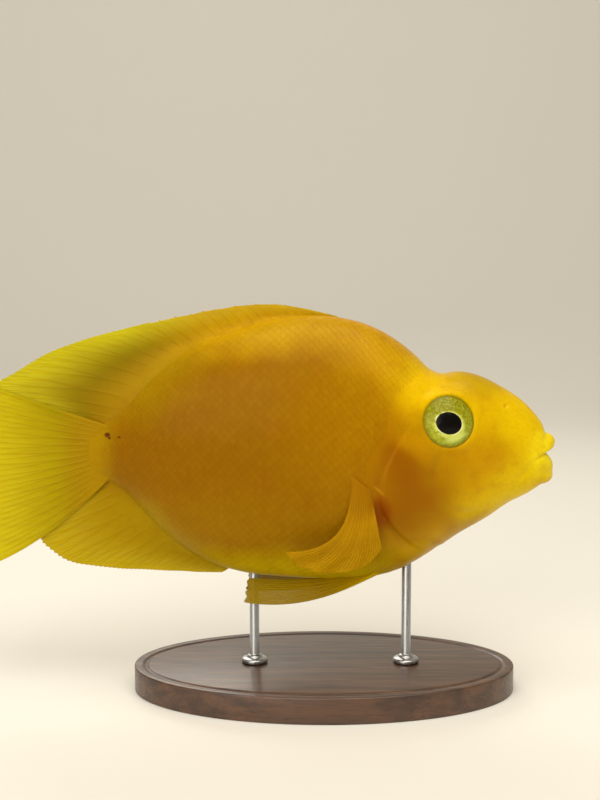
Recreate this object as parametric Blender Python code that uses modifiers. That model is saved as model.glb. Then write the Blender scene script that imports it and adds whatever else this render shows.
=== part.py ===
"""Life-size display model of a blood parrot cichlid, swimming, on a plain stand.

Metres, +Z up, +X towards the snout, +Y towards the fish's left side.
The origin lies under the middle of the model, on the face that the base rests on.
"""

import math

import bmesh
import bpy
from mathutils import Matrix
from mathutils import Vector

MM = 0.001
# Space kept between neighbouring pieces, in millimetres
GAP = 0.3

# Overall lengths, in millimetres
SNOUT_X = 92.2
TAIL_END_X = -92.2
BODY_FRONT_X = 90.3
BODY_REAR_X = -50.5
SNOUT_ROUND = 2.2
SNOUT_TURN = 80.0
REAR_ROUND = 0.8
REAR_SHRINK = 0.72

# Profile of the body seen from the side: places along X, and the heights of back and belly there
BACK_LINE = (
    (-50.5, 84.0), (-45.5, 86.6), (-41.0, 90.6), (-36.7, 95.6), (-30.9, 101.3), (-22.4, 106.9),
    (-11.2, 112.2), (0.0, 116.2), (12.0, 118.2), (24.0, 117.7), (34.0, 115.1), (42.3, 110.6),
    (48.5, 105.6), (52.3, 101.9), (55.0, 100.4), (61.5, 100.9), (68.0, 99.6), (74.7, 96.3),
    (81.0, 92.2), (86.0, 87.4), (90.3, 81.8),
)
BELLY_LINE = (
    (-50.5, 66.6), (-45.0, 64.6), (-40.0, 60.4), (-34.5, 54.3), (-26.8, 47.0), (-18.0, 41.4),
    (-6.2, 37.4), (8.0, 35.8), (24.0, 35.3), (34.0, 35.8), (43.2, 38.2), (52.8, 43.5),
    (62.2, 49.8), (70.8, 54.6), (77.2, 59.1), (83.9, 62.0), (90.3, 65.8),
)
# Half the width, and the height of the widest place, along X
HALF_WIDTH = (
    (-50.5, 2.5), (-46.0, 4.0), (-40.0, 6.5), (-32.0, 9.7), (-20.0, 13.5), (-6.0, 16.7),
    (10.0, 18.8), (24.0, 19.5), (35.0, 19.1), (46.0, 17.2), (58.0, 14.6), (68.0, 12.0),
    (77.0, 8.9), (84.0, 6.3), (90.3, 4.0),
)
WIDEST_HEIGHT = (
    (-50.5, 75.3), (-36.0, 76.0), (-10.0, 77.0), (15.0, 75.0), (35.0, 71.5), (55.0, 74.0),
    (75.0, 76.0), (90.3, 73.8),
)
# Fullness of the cross-section above its widest place: 2 is an ellipse, more is squarer
FULLNESS = ((-50.5, 2.0), (-20.0, 1.85), (15.0, 1.9), (45.0, 2.05), (58.0, 2.3), (90.3, 2.1))
BELLY_FULLNESS = 2.1
RING_POINTS = 32
TRUNK_STEP = 3.3
HEAD_STEP = 2.0
HEAD_FROM_X = 44.0
SNOUT_RINGS = 4

# Lips: the middle of each roll at the front, and where both meet at the corner of the mouth
UPPER_LIP_Z = 78.9
LOWER_LIP_Z = 68.3
UPPER_LIP_RADIUS = 2.9
LOWER_LIP_RADIUS = 2.8
LIP_CORNER_RADIUS = 1.3
LIP_CORNER = (84.8, 5.2, 73.8)
LIP_SHOULDER_Y = 3.3
LIP_SHOULDER_BACK = 1.9
LOWER_LIP_BACK = 0.8
MOUTH_SLIT = ((84.9, 74.0), (90.4, 75.1), (94.0, 75.2), (94.0, 76.4), (90.0, 75.7))
NOSTRIL = (76.6, 90.2)
NOSTRIL_RADIUS = 0.8
NOSTRIL_DEPTH = 1.2

# Eyes: flattened balls that stand a little proud of the head
EYE_CENTRE = (57.4, 10.8, 86.5)
EYE_RADIUS = 9.0
EYE_HALF_DEPTH = 4.6
EYE_YAW = 11.0
EYE_TILT = 12.0

# Cuts between head, trunk and tail, and the gill cover's outline
GILL_EDGE = (
    (57.5, 112.0), (54.8, 101.0), (49.8, 91.6), (42.9, 81.7), (37.9, 72.4), (36.4, 64.9),
    (38.6, 57.4), (45.1, 49.3), (53.0, 43.0), (62.0, 36.0),
)
GILL_CUT_WIDTH = 0.4
TAIL_CUT_X = -30.0
COVER_FRONT = ((46.5, 51.5), (52.0, 55.5), (54.2, 63.0), (53.4, 71.0), (50.4, 78.0), (45.5, 83.0))
COVER_REAR_X = 20.0
COVER_MIDDLE = (44.0, 67.0)
COVER_INNER_Y = 12.5
CUT_REACH = 60.0
FAR_X = 130.0
FLOOR_Z = -20.0
CEILING_Z = 150.0

# Fins: thickness of the skin between the rays, the height of a ray on each face and how much of
# it is lost towards the tip, and the share of the spacing from a ray's crest to its foot
WEB = 0.55
RAY_RISE = 0.3
RAY_THINNING = 0.65
RAY_SHARE = 0.26
ROOT_SINK = 2.2
# Share of a fin over which its slopes are measured
PROBE = 0.004
# For each fin: rows out along the rays, thickness at the root, share of the ray's length that the
# root's flesh reaches, and depth of the notches between the ray tips as a share of that length
FIN_FORM = {
    "dorsal_fin_spiny": (4, 2.4, 0.45, 0.10),
    "dorsal_fin_soft": (7, 2.2, 0.30, 0.015),
    "anal_fin": (4, 2.0, 0.40, 0.02),
    "caudal_fin": (5, 4.0, 0.35, 0.012),
    "pectoral_fin_l": (5, 3.2, 0.35, 0.015),
    "pelvic_fin_l": (5, 2.6, 0.30, 0.02),
}

# Dorsal fin: rays from the back to the edge, told as place along the base, edge X and edge Z
DORSAL_FRONT_X = 27.0
DORSAL_REAR_X = -45.0
DORSAL_SPINES = 16
DORSAL_SOFT_RAYS = 10
DORSAL_SPLIT_GAP = 0.005
DORSAL_BOW = 0.24
DORSAL_EDGE = (
    (0.00, 23.5, 117.9), (0.09, 14.6, 120.0), (0.22, 4.0, 121.8), (0.38, -9.0, 120.9),
    (0.52, -22.0, 118.7), (0.62, -35.0, 115.8), (0.70, -50.0, 112.0), (0.77, -64.0, 107.4),
    (0.84, -76.0, 100.8), (0.88, -83.4, 97.2), (0.92, -77.0, 94.9), (0.96, -69.0, 92.0),
    (1.00, -60.0, 88.8),
)

# Anal fin, told the same way along the belly
ANAL_FRONT_X = -8.0
ANAL_REAR_X = -46.5
ANAL_SPINES = 8
ANAL_SOFT_RAYS = 8
ANAL_BOW = 0.28
ANAL_EDGE = (
    (0.00, -12.5, 37.0), (0.15, -20.5, 37.2), (0.32, -31.1, 37.7), (0.48, -44.0, 38.2),
    (0.58, -53.0, 39.1), (0.67, -61.8, 40.8), (0.72, -66.0, 43.8), (0.77, -69.4, 47.2),
    (0.87, -63.0, 51.4), (1.00, -55.0, 57.2),
)

# Tail fin: rays fan from the root, low to high; the edge tells place, X ahead of the end, and Z
TAIL_RAYS = 16
TAIL_ROOT_X = -46.5
TAIL_ROOT_LOW_Z = 68.0
TAIL_ROOT_HIGH_Z = 83.4
TAIL_EDGE = (
    (0.00, 5.5, 38.6), (0.12, 2.4, 44.5), (0.35, 0.3, 58.0), (0.60, 0.0, 74.0),
    (0.85, 0.6, 90.5), (1.00, 2.6, 98.2),
)
TAIL_LOW_BOW = -3.6

# Pectoral fins: a fleshy root on the flank, and a fan swept down and back
PECTORAL_RAYS = 12
PECTORAL_ROOT_REAR = (27.4, 71.4)
PECTORAL_ROOT_FRONT = (33.8, 65.0)
PECTORAL_SINK = 1.6
PECTORAL_MIDDLE = (30.0, 64.0)
PECTORAL_FLARE = 3.6
PECTORAL_EDGE = (
    (0.00, 7.6, 48.4), (0.18, 10.6, 44.6), (0.40, 18.0, 42.0), (0.62, 25.8, 42.2),
    (0.84, 33.2, 45.0), (1.00, 36.8, 49.4),
)
PECTORAL_BOW = 9.8
PECTORAL_BOW_WAY = (0.62, 0.0, -0.6)

# Pelvic fins: folded back under the belly, one each side of the midline
PELVIC_RAYS = 6
PELVIC_ROOT_OUTER = (38.6, 6.6)
PELVIC_ROOT_INNER = (31.8, 3.0)
PELVIC_SINK = 1.0
PELVIC_TIP_OUTER = (-5.3, 8.2, 29.5)
PELVIC_TIP_INNER = (0.5, 4.6, 34.6)
PELVIC_DROP = 4.3
PELVIC_INNER_DROP = 1.5
PELVIC_SPREAD = 1.2

# Stand: a low oval base and two slender rods on the midline
BASE_CENTRE_X = 20.0
BASE_HALF_LENGTH = 60.0
BASE_HALF_WIDTH = 35.0
BASE_HEIGHT = 8.0
BASE_EDGE = 1.6
BASE_SIDES = 56
ROD_RADIUS = 1.5
ROD_COLLAR_RADIUS = 4.2
ROD_COLLAR_HEIGHT = 1.8
ROD_COLLAR_EDGE = 0.5
ROD_SINK = 2.5
ROD_SIDES = 14
ROD_FRONT_X = 46.0
ROD_REAR_X = -2.0

# Colours as red, green and blue from 0 to 255, with roughness and metallic value
COLOURS = {
    "head_skin": ((228, 188, 20), 0.38, 0.0),
    "flank_skin": ((172, 112, 12), 0.38, 0.0),
    "tail_skin": ((160, 112, 10), 0.40, 0.0),
    "gill_cover_skin": ((196, 128, 14), 0.36, 0.0),
    "eye": ((190, 196, 92), 0.10, 0.0),
    "upper_fin": ((196, 176, 24), 0.42, 0.0),
    "tail_fin": ((205, 184, 26), 0.42, 0.0),
    "lower_fin": ((176, 150, 20), 0.42, 0.0),
    "stand_wood": ((58, 42, 32), 0.35, 0.0),
    "stand_steel": ((190, 192, 194), 0.28, 1.0),
}


def clear_scene():
    """Removes every object that the file opened with."""
    for old in list(bpy.data.objects):
        bpy.data.objects.remove(old, do_unlink=True)


def new_collection(name):
    """Makes a collection under the scene's own."""
    made = bpy.data.collections.new(name)
    bpy.context.scene.collection.children.link(made)
    return made


def linear(value):
    """Turns one colour value from 0 to 255 into scene-linear light."""
    part = value / 255.0
    if part <= 0.04045:
        return part / 12.92
    return ((part + 0.055) / 1.055) ** 2.4


def surface_finish(name):
    """Makes one Principled material from the table of colours."""
    rgb, roughness, metallic = COLOURS[name]
    made = bpy.data.materials.new(name)
    made.use_nodes = True
    shader = made.node_tree.nodes["Principled BSDF"]
    colour = [linear(value) for value in rgb]
    shader.inputs["Base Color"].default_value = (*colour, 1.0)
    shader.inputs["Roughness"].default_value = roughness
    shader.inputs["Metallic"].default_value = metallic
    made.diffuse_color = (*colour, 1.0)
    return made


def place(name, mesh, collection, finish=None):
    """Puts a mesh in the scene as a named object, shaded smooth where it is round."""
    made = bpy.data.objects.new(name, mesh)
    collection.objects.link(made)
    if finish is not None:
        mesh.materials.clear()
        mesh.materials.append(finish)
        mesh.shade_smooth()
        mesh.set_sharp_from_angle(angle=math.radians(40))
    return made


def mesh_from(name, points, faces):
    """Makes a mesh with its faces turned outwards."""
    work = bmesh.new()
    corners = [work.verts.new(point) for point in points]
    for face in faces:
        work.faces.new([corners[index] for index in face])
    bmesh.ops.recalc_face_normals(work, faces=work.faces)
    if work.calc_volume(signed=True) < 0.0:
        bmesh.ops.reverse_faces(work, faces=work.faces)
    made = bpy.data.meshes.new(name)
    work.to_mesh(made)
    work.free()
    return made


def along(table, x, column=1):
    """Reads a smooth curve through a table's points at x, held level beyond its ends."""
    if table[0][0] > table[-1][0]:
        table = table[::-1]
    if x <= table[0][0]:
        return table[0][column]
    if x >= table[-1][0]:
        return table[-1][column]
    last = len(table) - 1
    index = max(i for i in range(last) if table[i][0] <= x)

    def slope(i):
        low = max(i - 1, 0)
        high = min(i + 1, last)
        return (table[high][column] - table[low][column]) / (table[high][0] - table[low][0])

    start, end = table[index], table[index + 1]
    span = end[0] - start[0]
    part = (x - start[0]) / span
    square, cube = part * part, part * part * part
    value = (2 * cube - 3 * square + 1) * start[column]
    value += (cube - 2 * square + part) * span * slope(index)
    value += (3 * square - 2 * cube) * end[column]
    value += (cube - square) * span * slope(index + 1)
    return value


def section_point(x, turn, shrink=1.0):
    """A point of the body's surface at x; turn runs from the back, 0, round the flank."""
    middle = along(WIDEST_HEIGHT, x)
    side, up = math.sin(turn), math.cos(turn)
    fullness = along(FULLNESS, x) if up > 0 else BELLY_FULLNESS
    reach = along(BACK_LINE, x) - middle if up > 0 else middle - along(BELLY_LINE, x)
    power = 2.0 / fullness
    y = math.copysign(abs(side) ** power, side) * along(HALF_WIDTH, x)
    z = math.copysign(abs(up) ** power, up) * reach
    return Vector((x, y * shrink, middle + z * shrink))


def body_stations():
    """Places of the body's rings along X, closer on the head, with each ring's shrink."""
    front_from = BODY_FRONT_X - SNOUT_ROUND
    trunk = max(2, round((HEAD_FROM_X - BODY_REAR_X) / TRUNK_STEP))
    head = max(2, round((front_from - HEAD_FROM_X) / HEAD_STEP))
    stations = [(BODY_REAR_X - REAR_ROUND, REAR_SHRINK)]
    for i in range(trunk):
        stations.append((BODY_REAR_X + (HEAD_FROM_X - BODY_REAR_X) * i / trunk, 1.0))
    for i in range(head + 1):
        stations.append((HEAD_FROM_X + (front_from - HEAD_FROM_X) * i / head, 1.0))
    for i in range(1, SNOUT_RINGS + 1):
        angle = math.radians(SNOUT_TURN) * i / SNOUT_RINGS
        stations.append((front_from + SNOUT_ROUND * math.sin(angle), math.cos(angle)))
    return stations


def body_mesh(name, grow=0.0):
    """Lofts the whole body as one closed surface, its points pushed out by grow millimetres."""
    points = []
    faces = []
    stations = body_stations()
    for x, shrink in stations:
        for i in range(RING_POINTS):
            turn = 2.0 * math.pi * i / RING_POINTS
            points.append(section_point(x, turn, shrink) * MM)
    for ring in range(len(stations) - 1):
        start = ring * RING_POINTS
        beyond = start + RING_POINTS
        for i in range(RING_POINTS):
            after = (i + 1) % RING_POINTS
            faces.append((start + i, start + after, beyond + after, beyond + i))
    faces.append(tuple(range(RING_POINTS)))
    last = (len(stations) - 1) * RING_POINTS
    faces.append(tuple(last + i for i in reversed(range(RING_POINTS))))
    mesh = mesh_from(name, points, faces)
    if grow:
        moved = [vertex.co + vertex.normal * grow * MM for vertex in mesh.vertices]
        for vertex, spot in zip(mesh.vertices, moved):
            vertex.co = spot
    return mesh


def curve_to_mesh(curve_object, collection):
    """Replaces a curve by the mesh of its surface, with the caps welded on."""
    bpy.context.view_layer.update()
    seen = curve_object.evaluated_get(bpy.context.evaluated_depsgraph_get())
    mesh = bpy.data.meshes.new_from_object(seen)
    work = bmesh.new()
    work.from_mesh(mesh)
    bmesh.ops.remove_doubles(work, verts=work.verts, dist=0.01 * MM)
    bmesh.ops.recalc_face_normals(work, faces=work.faces)
    work.to_mesh(mesh)
    work.free()
    made = bpy.data.objects.new(curve_object.name + "_solid", mesh)
    made.matrix_world = curve_object.matrix_world
    collection.objects.link(made)
    bpy.data.objects.remove(curve_object, do_unlink=True)
    return made


def outline_block(name, outline, near_y, far_y, collection):
    """A flat outline in X and Z, extruded from near_y to far_y."""
    curve = bpy.data.curves.new(name, "CURVE")
    curve.dimensions = "2D"
    curve.fill_mode = "BOTH"
    curve.extrude = abs(far_y - near_y) / 2.0 * MM
    spline = curve.splines.new("POLY")
    spline.points.add(len(outline) - 1)
    for point, (x, z) in zip(spline.points, outline):
        point.co = (x * MM, z * MM, 0.0, 1.0)
    spline.use_cyclic_u = True
    flat = bpy.data.objects.new(name, curve)
    collection.objects.link(flat)
    flat.location.y = (near_y + far_y) / 2.0 * MM
    flat.rotation_euler.x = math.radians(90.0)
    return curve_to_mesh(flat, collection)


def tube(name, path, radii, collection):
    """A round roll along a smooth path, with its own radius at each point."""
    curve = bpy.data.curves.new(name, "CURVE")
    curve.dimensions = "3D"
    curve.bevel_depth = 1.0 * MM
    curve.bevel_resolution = 2
    curve.use_fill_caps = True
    spline = curve.splines.new("POLY")
    spline.points.add(len(path) - 1)
    for point, spot, radius in zip(spline.points, path, radii):
        point.co = (*(Vector(spot) * MM), 1.0)
        point.radius = radius
    line = bpy.data.objects.new(name, curve)
    collection.objects.link(line)
    return curve_to_mesh(line, collection)


def combine(target, other, operation):
    """Runs one Boolean on target and applies it."""
    step = target.modifiers.new(operation.lower(), "BOOLEAN")
    step.operation = operation
    step.solver = "EXACT"
    step.object = other
    bpy.context.view_layer.update()
    seen = target.evaluated_get(bpy.context.evaluated_depsgraph_get())
    result = bpy.data.meshes.new_from_object(seen)
    target.modifiers.clear()
    old = target.data
    target.data = result
    bpy.data.meshes.remove(old)


def cut(target, block, operation):
    """Combines target with a helper block, which is used up."""
    combine(target, block, operation)
    bpy.data.objects.remove(block, do_unlink=True)


def keep_largest(target):
    """Drops every loose piece of the mesh but the one with the most volume."""
    work = bmesh.new()
    work.from_mesh(target.data)
    left = set(work.faces)
    shells = []
    while left:
        seed = left.pop()
        shell = [seed]
        edge_of_shell = [seed]
        while edge_of_shell:
            face = edge_of_shell.pop()
            for edge in face.edges:
                for near in edge.link_faces:
                    if near in left:
                        left.remove(near)
                        shell.append(near)
                        edge_of_shell.append(near)
        shells.append(shell)
    if len(shells) > 1:
        shells.sort(key=shell_volume)
        scraps = [face for shell in shells[:-1] for face in shell]
        bmesh.ops.delete(work, geom=scraps, context="FACES")
        loose = [vertex for vertex in work.verts if not vertex.link_faces]
        bmesh.ops.delete(work, geom=loose, context="VERTS")
    work.to_mesh(target.data)
    work.free()


def shell_volume(faces):
    """Volume inside a closed set of faces, by the divergence theorem."""
    total = 0.0
    for face in faces:
        corners = [loop.vert.co for loop in face.loops]
        for i in range(1, len(corners) - 1):
            total += corners[0].dot(corners[i].cross(corners[i + 1])) / 6.0
    return abs(total)


def flattened_ball(name, centre, radius, half_depth, collection, segments=22, rings=12):
    """An eye-shaped ball, flattened along its own Y and turned to face out and forward."""
    work = bmesh.new()
    bmesh.ops.create_uvsphere(work, u_segments=segments, v_segments=rings, radius=1.0)
    lay = Matrix.Rotation(math.radians(90.0), 4, "X")
    size = Matrix.Diagonal((radius, half_depth, radius, 1.0))
    side = 1.0 if centre[1] > 0 else -1.0
    turn = Matrix.Rotation(math.radians(-EYE_YAW * side), 4, "Z")
    tilt = Matrix.Rotation(math.radians(EYE_TILT * side), 4, "X")
    shift = Matrix.Scale(MM, 4) @ Matrix.Translation(Vector(centre))
    bmesh.ops.transform(work, matrix=shift @ turn @ tilt @ size @ lay, verts=work.verts)
    mesh = bpy.data.meshes.new(name)
    work.to_mesh(mesh)
    work.free()
    return place(name, mesh, collection)


def lip_roll(name, front_x, front_z, radius, collection):
    """One lip: a roll that runs round the front of the jaws from corner to corner."""
    corner = Vector(LIP_CORNER)
    front = Vector((front_x, 0.0, front_z))
    shoulder = Vector((front_x - LIP_SHOULDER_BACK, LIP_SHOULDER_Y, front_z))
    half = (
        (corner, LIP_CORNER_RADIUS),
        (corner.lerp(shoulder, 0.5), (radius + LIP_CORNER_RADIUS) / 2.0),
        (corner.lerp(shoulder, 0.9), radius * 0.9),
        (shoulder.lerp(front, 0.6), radius),
    )
    other_side = Vector((1.0, -1.0, 1.0))
    path = [spot for spot, _ in half] + [front] + [spot * other_side for spot, _ in reversed(half)]
    radii = [size for _, size in half] + [radius] + [size for _, size in reversed(half)]
    return tube(name, path, radii, collection)


def whole_body(finish, cutters, collection):
    """The body with its lips, mouth line, nostrils and eye sockets, still in one piece."""
    body = place("head", body_mesh("head"), collection, finish)
    upper_x = SNOUT_X - UPPER_LIP_RADIUS
    lower_x = SNOUT_X - LOWER_LIP_BACK - LOWER_LIP_RADIUS
    cut(body, lip_roll("upper_lip", upper_x, UPPER_LIP_Z, UPPER_LIP_RADIUS, cutters), "UNION")
    cut(body, lip_roll("lower_lip", lower_x, LOWER_LIP_Z, LOWER_LIP_RADIUS, cutters), "UNION")
    cut(body, outline_block("mouth", MOUTH_SLIT, -CUT_REACH, CUT_REACH, cutters), "DIFFERENCE")
    x, y, z = EYE_CENTRE
    for side in (1.0, -1.0):
        centre = (x, y * side, z)
        socket = flattened_ball("socket", centre, EYE_RADIUS + GAP, EYE_HALF_DEPTH + GAP, cutters)
        cut(body, socket, "DIFFERENCE")
        cut(body, nostril_pit(side, cutters), "DIFFERENCE")
    keep_largest(body)
    return body


def flank_y(x, z):
    """Half the body's width at a place seen from the side."""
    low, high = 0.0, math.pi
    for _ in range(40):
        middle = (low + high) / 2.0
        if section_point(x, middle).z > z:
            low = middle
        else:
            high = middle
    return section_point(x, low).y


def belly_z(x, y):
    """Height of the belly's surface at a place seen from below."""
    middle = along(WIDEST_HEIGHT, x)
    aside = abs(y) / along(HALF_WIDTH, x)
    reach = (1.0 - aside ** BELLY_FULLNESS) ** (1.0 / BELLY_FULLNESS)
    return middle - (middle - along(BELLY_LINE, x)) * reach


def nostril_pit(side, collection):
    """A small round-bottomed pit on the snout."""
    x, z = NOSTRIL
    work = bmesh.new()
    bmesh.ops.create_uvsphere(work, u_segments=10, v_segments=8, radius=1.0)
    size = Matrix.Diagonal((NOSTRIL_RADIUS, NOSTRIL_DEPTH, NOSTRIL_RADIUS, 1.0))
    shift = Matrix.Translation(Vector((x, side * flank_y(x, z), z)))
    bmesh.ops.transform(work, matrix=Matrix.Scale(MM, 4) @ shift @ size, verts=work.verts)
    mesh = bpy.data.meshes.new("nostril")
    work.to_mesh(mesh)
    work.free()
    return place("nostril", mesh, collection)


def copy_of(source, name, collection, finish):
    """A second object with its own mesh, in another finish."""
    mesh = source.data.copy()
    return place(name, mesh, collection, finish)


def right_twin(source, name, collection):
    """The same piece on the fish's right side, mirrored across the midline."""
    work = bmesh.new()
    work.from_mesh(source.data)
    bmesh.ops.transform(work, matrix=Matrix.Diagonal((1.0, -1.0, 1.0, 1.0)), verts=work.verts)
    bmesh.ops.reverse_faces(work, faces=work.faces)
    mesh = source.data.copy()
    work.to_mesh(mesh)
    work.free()
    twin = bpy.data.objects.new(name, mesh)
    collection.objects.link(twin)
    return twin


def rounded_line(points, steps=4):
    """Fills a list of points with a smooth curve that passes through them."""
    table_x = [(i, point[0]) for i, point in enumerate(points)]
    table_z = [(i, point[1]) for i, point in enumerate(points)]
    count = (len(points) - 1) * steps
    return [(along(table_x, i / steps), along(table_z, i / steps)) for i in range(count + 1)]


def swollen(outline, centre, margin):
    """The same flat outline with each point moved away from the centre by a margin."""
    moved = []
    for x, z in outline:
        aside, up = x - centre[0], z - centre[1]
        length = math.hypot(aside, up)
        moved.append((x + margin * aside / length, z + margin * up / length))
    return moved


def behind_wall(name, x, cutters):
    """A block that holds everything behind an upright wall at x."""
    outline = ((x, FLOOR_Z), (x, CEILING_Z), (-FAR_X, CEILING_Z), (-FAR_X, FLOOR_Z))
    return outline_block(name, outline, -CUT_REACH, CUT_REACH, cutters)


def part_body(body, finishes, cutters, collection):
    """Parts the body by thin cuts into head, gill covers, torso and tail."""
    edge = rounded_line(GILL_EDGE)
    ahead = edge + [(FAR_X, edge[-1][1]), (FAR_X, edge[0][1])]
    rear_edge = [(x - GILL_CUT_WIDTH, z) for x, z in edge]
    behind = [(rear_edge[0][0], CEILING_Z)] + rear_edge + [(rear_edge[-1][0], FLOOR_Z)]
    behind += [(-FAR_X, FLOOR_Z), (-FAR_X, CEILING_Z)]

    torso = copy_of(body, "torso", collection, finishes["flank_skin"])
    cut(torso, outline_block("behind", behind, -CUT_REACH, CUT_REACH, cutters), "INTERSECT")
    cut(torso, behind_wall("tail_side", TAIL_CUT_X + GAP / 2.0, cutters), "DIFFERENCE")
    keep_largest(torso)

    tail = copy_of(body, "tail", collection, finishes["tail_skin"])
    cut(tail, behind_wall("tail_block", TAIL_CUT_X - GAP / 2.0, cutters), "INTERSECT")
    keep_largest(tail)

    cut(body, outline_block("ahead", ahead, -CUT_REACH, CUT_REACH, cutters), "INTERSECT")
    keep_largest(body)

    outline = rounded_line(COVER_FRONT)
    outline += [(COVER_REAR_X, COVER_FRONT[-1][1] + 1.0), (COVER_REAR_X, COVER_FRONT[0][1] - 1.0)]
    cover = copy_of(body, "gill_cover_l", collection, finishes["gill_cover_skin"])
    cut(cover, outline_block("cover", outline, COVER_INNER_Y, CUT_REACH, cutters), "INTERSECT")
    keep_largest(cover)
    right_twin(cover, "gill_cover_r", collection)
    wider = swollen(outline, COVER_MIDDLE, GAP * 1.1)
    for side in (1.0, -1.0):
        inner_y = side * (COVER_INNER_Y - GAP)
        cut(body, outline_block("cover_room", wider, inner_y, side * CUT_REACH, cutters), "DIFFERENCE")
    keep_largest(body)


def ray_columns(start, end, rays):
    """Places across a fin from start to end: each ray has a foot, a crest and a foot."""
    columns = [(start, 0.0)]
    pitch = (end - start) / rays
    for i in range(rays):
        middle = start + (i + 0.5) * pitch
        columns.append((middle - RAY_SHARE * pitch, 0.0))
        columns.append((middle, 1.0))
        columns.append((middle + RAY_SHARE * pitch, 0.0))
    columns.append((end, 0.0))
    return columns


def fin_mesh(name, columns, rows, surface, half_thickness, notch):
    """A fin as one closed sheet with rays raised in both faces, split alike on each."""
    middle = []
    for across, crest in columns:
        for row in range(rows + 1):
            reach = 1.0 - notch * (1.0 - crest) * (row / rows) ** 2
            out = row / rows * reach
            spot = surface(across, out)
            side_on = surface(min(across + PROBE, 1.0), out) - surface(max(across - PROBE, 0.0), out)
            outward = surface(across, min(out + PROBE, 1.0)) - surface(across, max(out - PROBE, 0.0))
            normal = side_on.cross(outward).normalized()
            middle.append((spot, normal, half_thickness(crest, out)))
    points = [(spot + normal * half) * MM for spot, normal, half in middle]
    points += [(spot - normal * half) * MM for spot, normal, half in middle]
    other = len(middle)
    high = rows + 1
    faces = []
    for column in range(len(columns) - 1):
        for row in range(rows):
            a = column * high + row
            b = a + high
            for near, mid, far in ((a, b, b + 1), (a, b + 1, a + 1)):
                faces.append((near, mid, far))
                faces.append((other + near, other + far, other + mid))
    last = (len(columns) - 1) * high
    rim = [(row, row + 1) for row in range(rows)]
    rim += [(last + row + 1, last + row) for row in range(rows)]
    rim += [(column * high + high, column * high) for column in range(len(columns) - 1)]
    rim += [(column * high + rows, column * high + high + rows) for column in range(len(columns) - 1)]
    for a, b in rim:
        faces.append((a, b, other + b))
        faces.append((a, other + b, other + a))
    return mesh_from(name, points, faces)


def thinning(root, from_out):
    """Half the thickness from a fleshy root to the thin edge, a little more on each ray."""

    def half(crest, out):
        flesh = max(0.0, 1.0 - out / from_out) ** 2
        ray = RAY_RISE * crest * (1.0 - RAY_THINNING * out)
        return WEB / 2.0 + flesh * (root - WEB) / 2.0 + ray

    return half


def root_on(line, x, direction):
    """A point of the back or the belly, sunk a little way into the body."""
    return Vector((x, 0.0, along(line, x) + direction * ROOT_SINK))


def dorsal_surface(across, out):
    """The dorsal fin's middle plane: rays lean back from the back to the edge."""
    x = DORSAL_FRONT_X + (DORSAL_REAR_X - DORSAL_FRONT_X) * across
    root = root_on(BACK_LINE, x, -1.0)
    tip = Vector((along(DORSAL_EDGE, across, 1), 0.0, along(DORSAL_EDGE, across, 2)))
    bow = Vector((0.0, 0.0, 1.0)) * (tip - root).length * DORSAL_BOW * (1.0 - across ** 4)
    return root.lerp(tip, out) + bow * out * (1.0 - out)


def anal_surface(across, out):
    """The anal fin's middle plane, swept back along the belly."""
    x = ANAL_FRONT_X + (ANAL_REAR_X - ANAL_FRONT_X) * across
    root = root_on(BELLY_LINE, x, 1.0)
    tip = Vector((along(ANAL_EDGE, across, 1), 0.0, along(ANAL_EDGE, across, 2)))
    bow = Vector((0.0, 0.0, -1.0)) * (tip - root).length * ANAL_BOW * (1.0 - across)
    return root.lerp(tip, out) + bow * out * (1.0 - out)


def tail_fin_surface(across, out):
    """The tail fin's middle plane: rays fan out from the narrow root."""
    root = Vector((TAIL_ROOT_X, 0.0, TAIL_ROOT_LOW_Z + (TAIL_ROOT_HIGH_Z - TAIL_ROOT_LOW_Z) * across))
    tip = Vector((TAIL_END_X + along(TAIL_EDGE, across, 1), 0.0, along(TAIL_EDGE, across, 2)))
    bow = Vector((0.0, 0.0, TAIL_LOW_BOW * (1.0 - across) ** 2))
    return root.lerp(tip, out) + bow * 4.0 * out * (1.0 - out)


def pectoral_surface(across, out):
    """The left pectoral fin's middle plane, flaring away from the flank."""
    x = PECTORAL_ROOT_REAR[0] + (PECTORAL_ROOT_FRONT[0] - PECTORAL_ROOT_REAR[0]) * across
    z = PECTORAL_ROOT_REAR[1] + (PECTORAL_ROOT_FRONT[1] - PECTORAL_ROOT_REAR[1]) * across
    root = Vector((x, flank_y(x, z) - PECTORAL_SINK, z))
    tip_y = flank_y(*PECTORAL_MIDDLE) + PECTORAL_FLARE
    tip = Vector((along(PECTORAL_EDGE, across, 1), tip_y, along(PECTORAL_EDGE, across, 2)))
    bow = Vector(PECTORAL_BOW_WAY) * PECTORAL_BOW * (1.0 - across) * 4.0 * out * (1.0 - out)
    spread = 1.0 - (1.0 - out) ** 2
    spot = root.lerp(tip, out) + bow
    spot.y = root.y + (tip_y - root.y) * spread
    return spot


def pelvic_surface(across, out):
    """The left pelvic fin's middle plane, folded back under the belly."""
    x, y = Vector(PELVIC_ROOT_OUTER).lerp(Vector(PELVIC_ROOT_INNER), across)
    root = Vector((x, y, belly_z(x, y) + PELVIC_SINK))
    tip = Vector(PELVIC_TIP_OUTER).lerp(Vector(PELVIC_TIP_INNER), across)
    drop = PELVIC_DROP + (PELVIC_INNER_DROP - PELVIC_DROP) * across
    hump = 4.0 * out * (1.0 - out)
    return root.lerp(tip, out) + Vector((0.0, PELVIC_SPREAD * (1.0 - across) * hump, -drop * hump))


def add_fin(name, columns, surface, room, collection, finish):
    """Makes a fin and trims its sunk root to the body, with a thin gap."""
    rows, root, flesh, notch = FIN_FORM[name]
    mesh = fin_mesh(name, columns, rows, surface, thinning(root, flesh), notch)
    fin = place(name, mesh, collection, finish)
    combine(fin, room, "DIFFERENCE")
    keep_largest(fin)
    return fin


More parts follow.
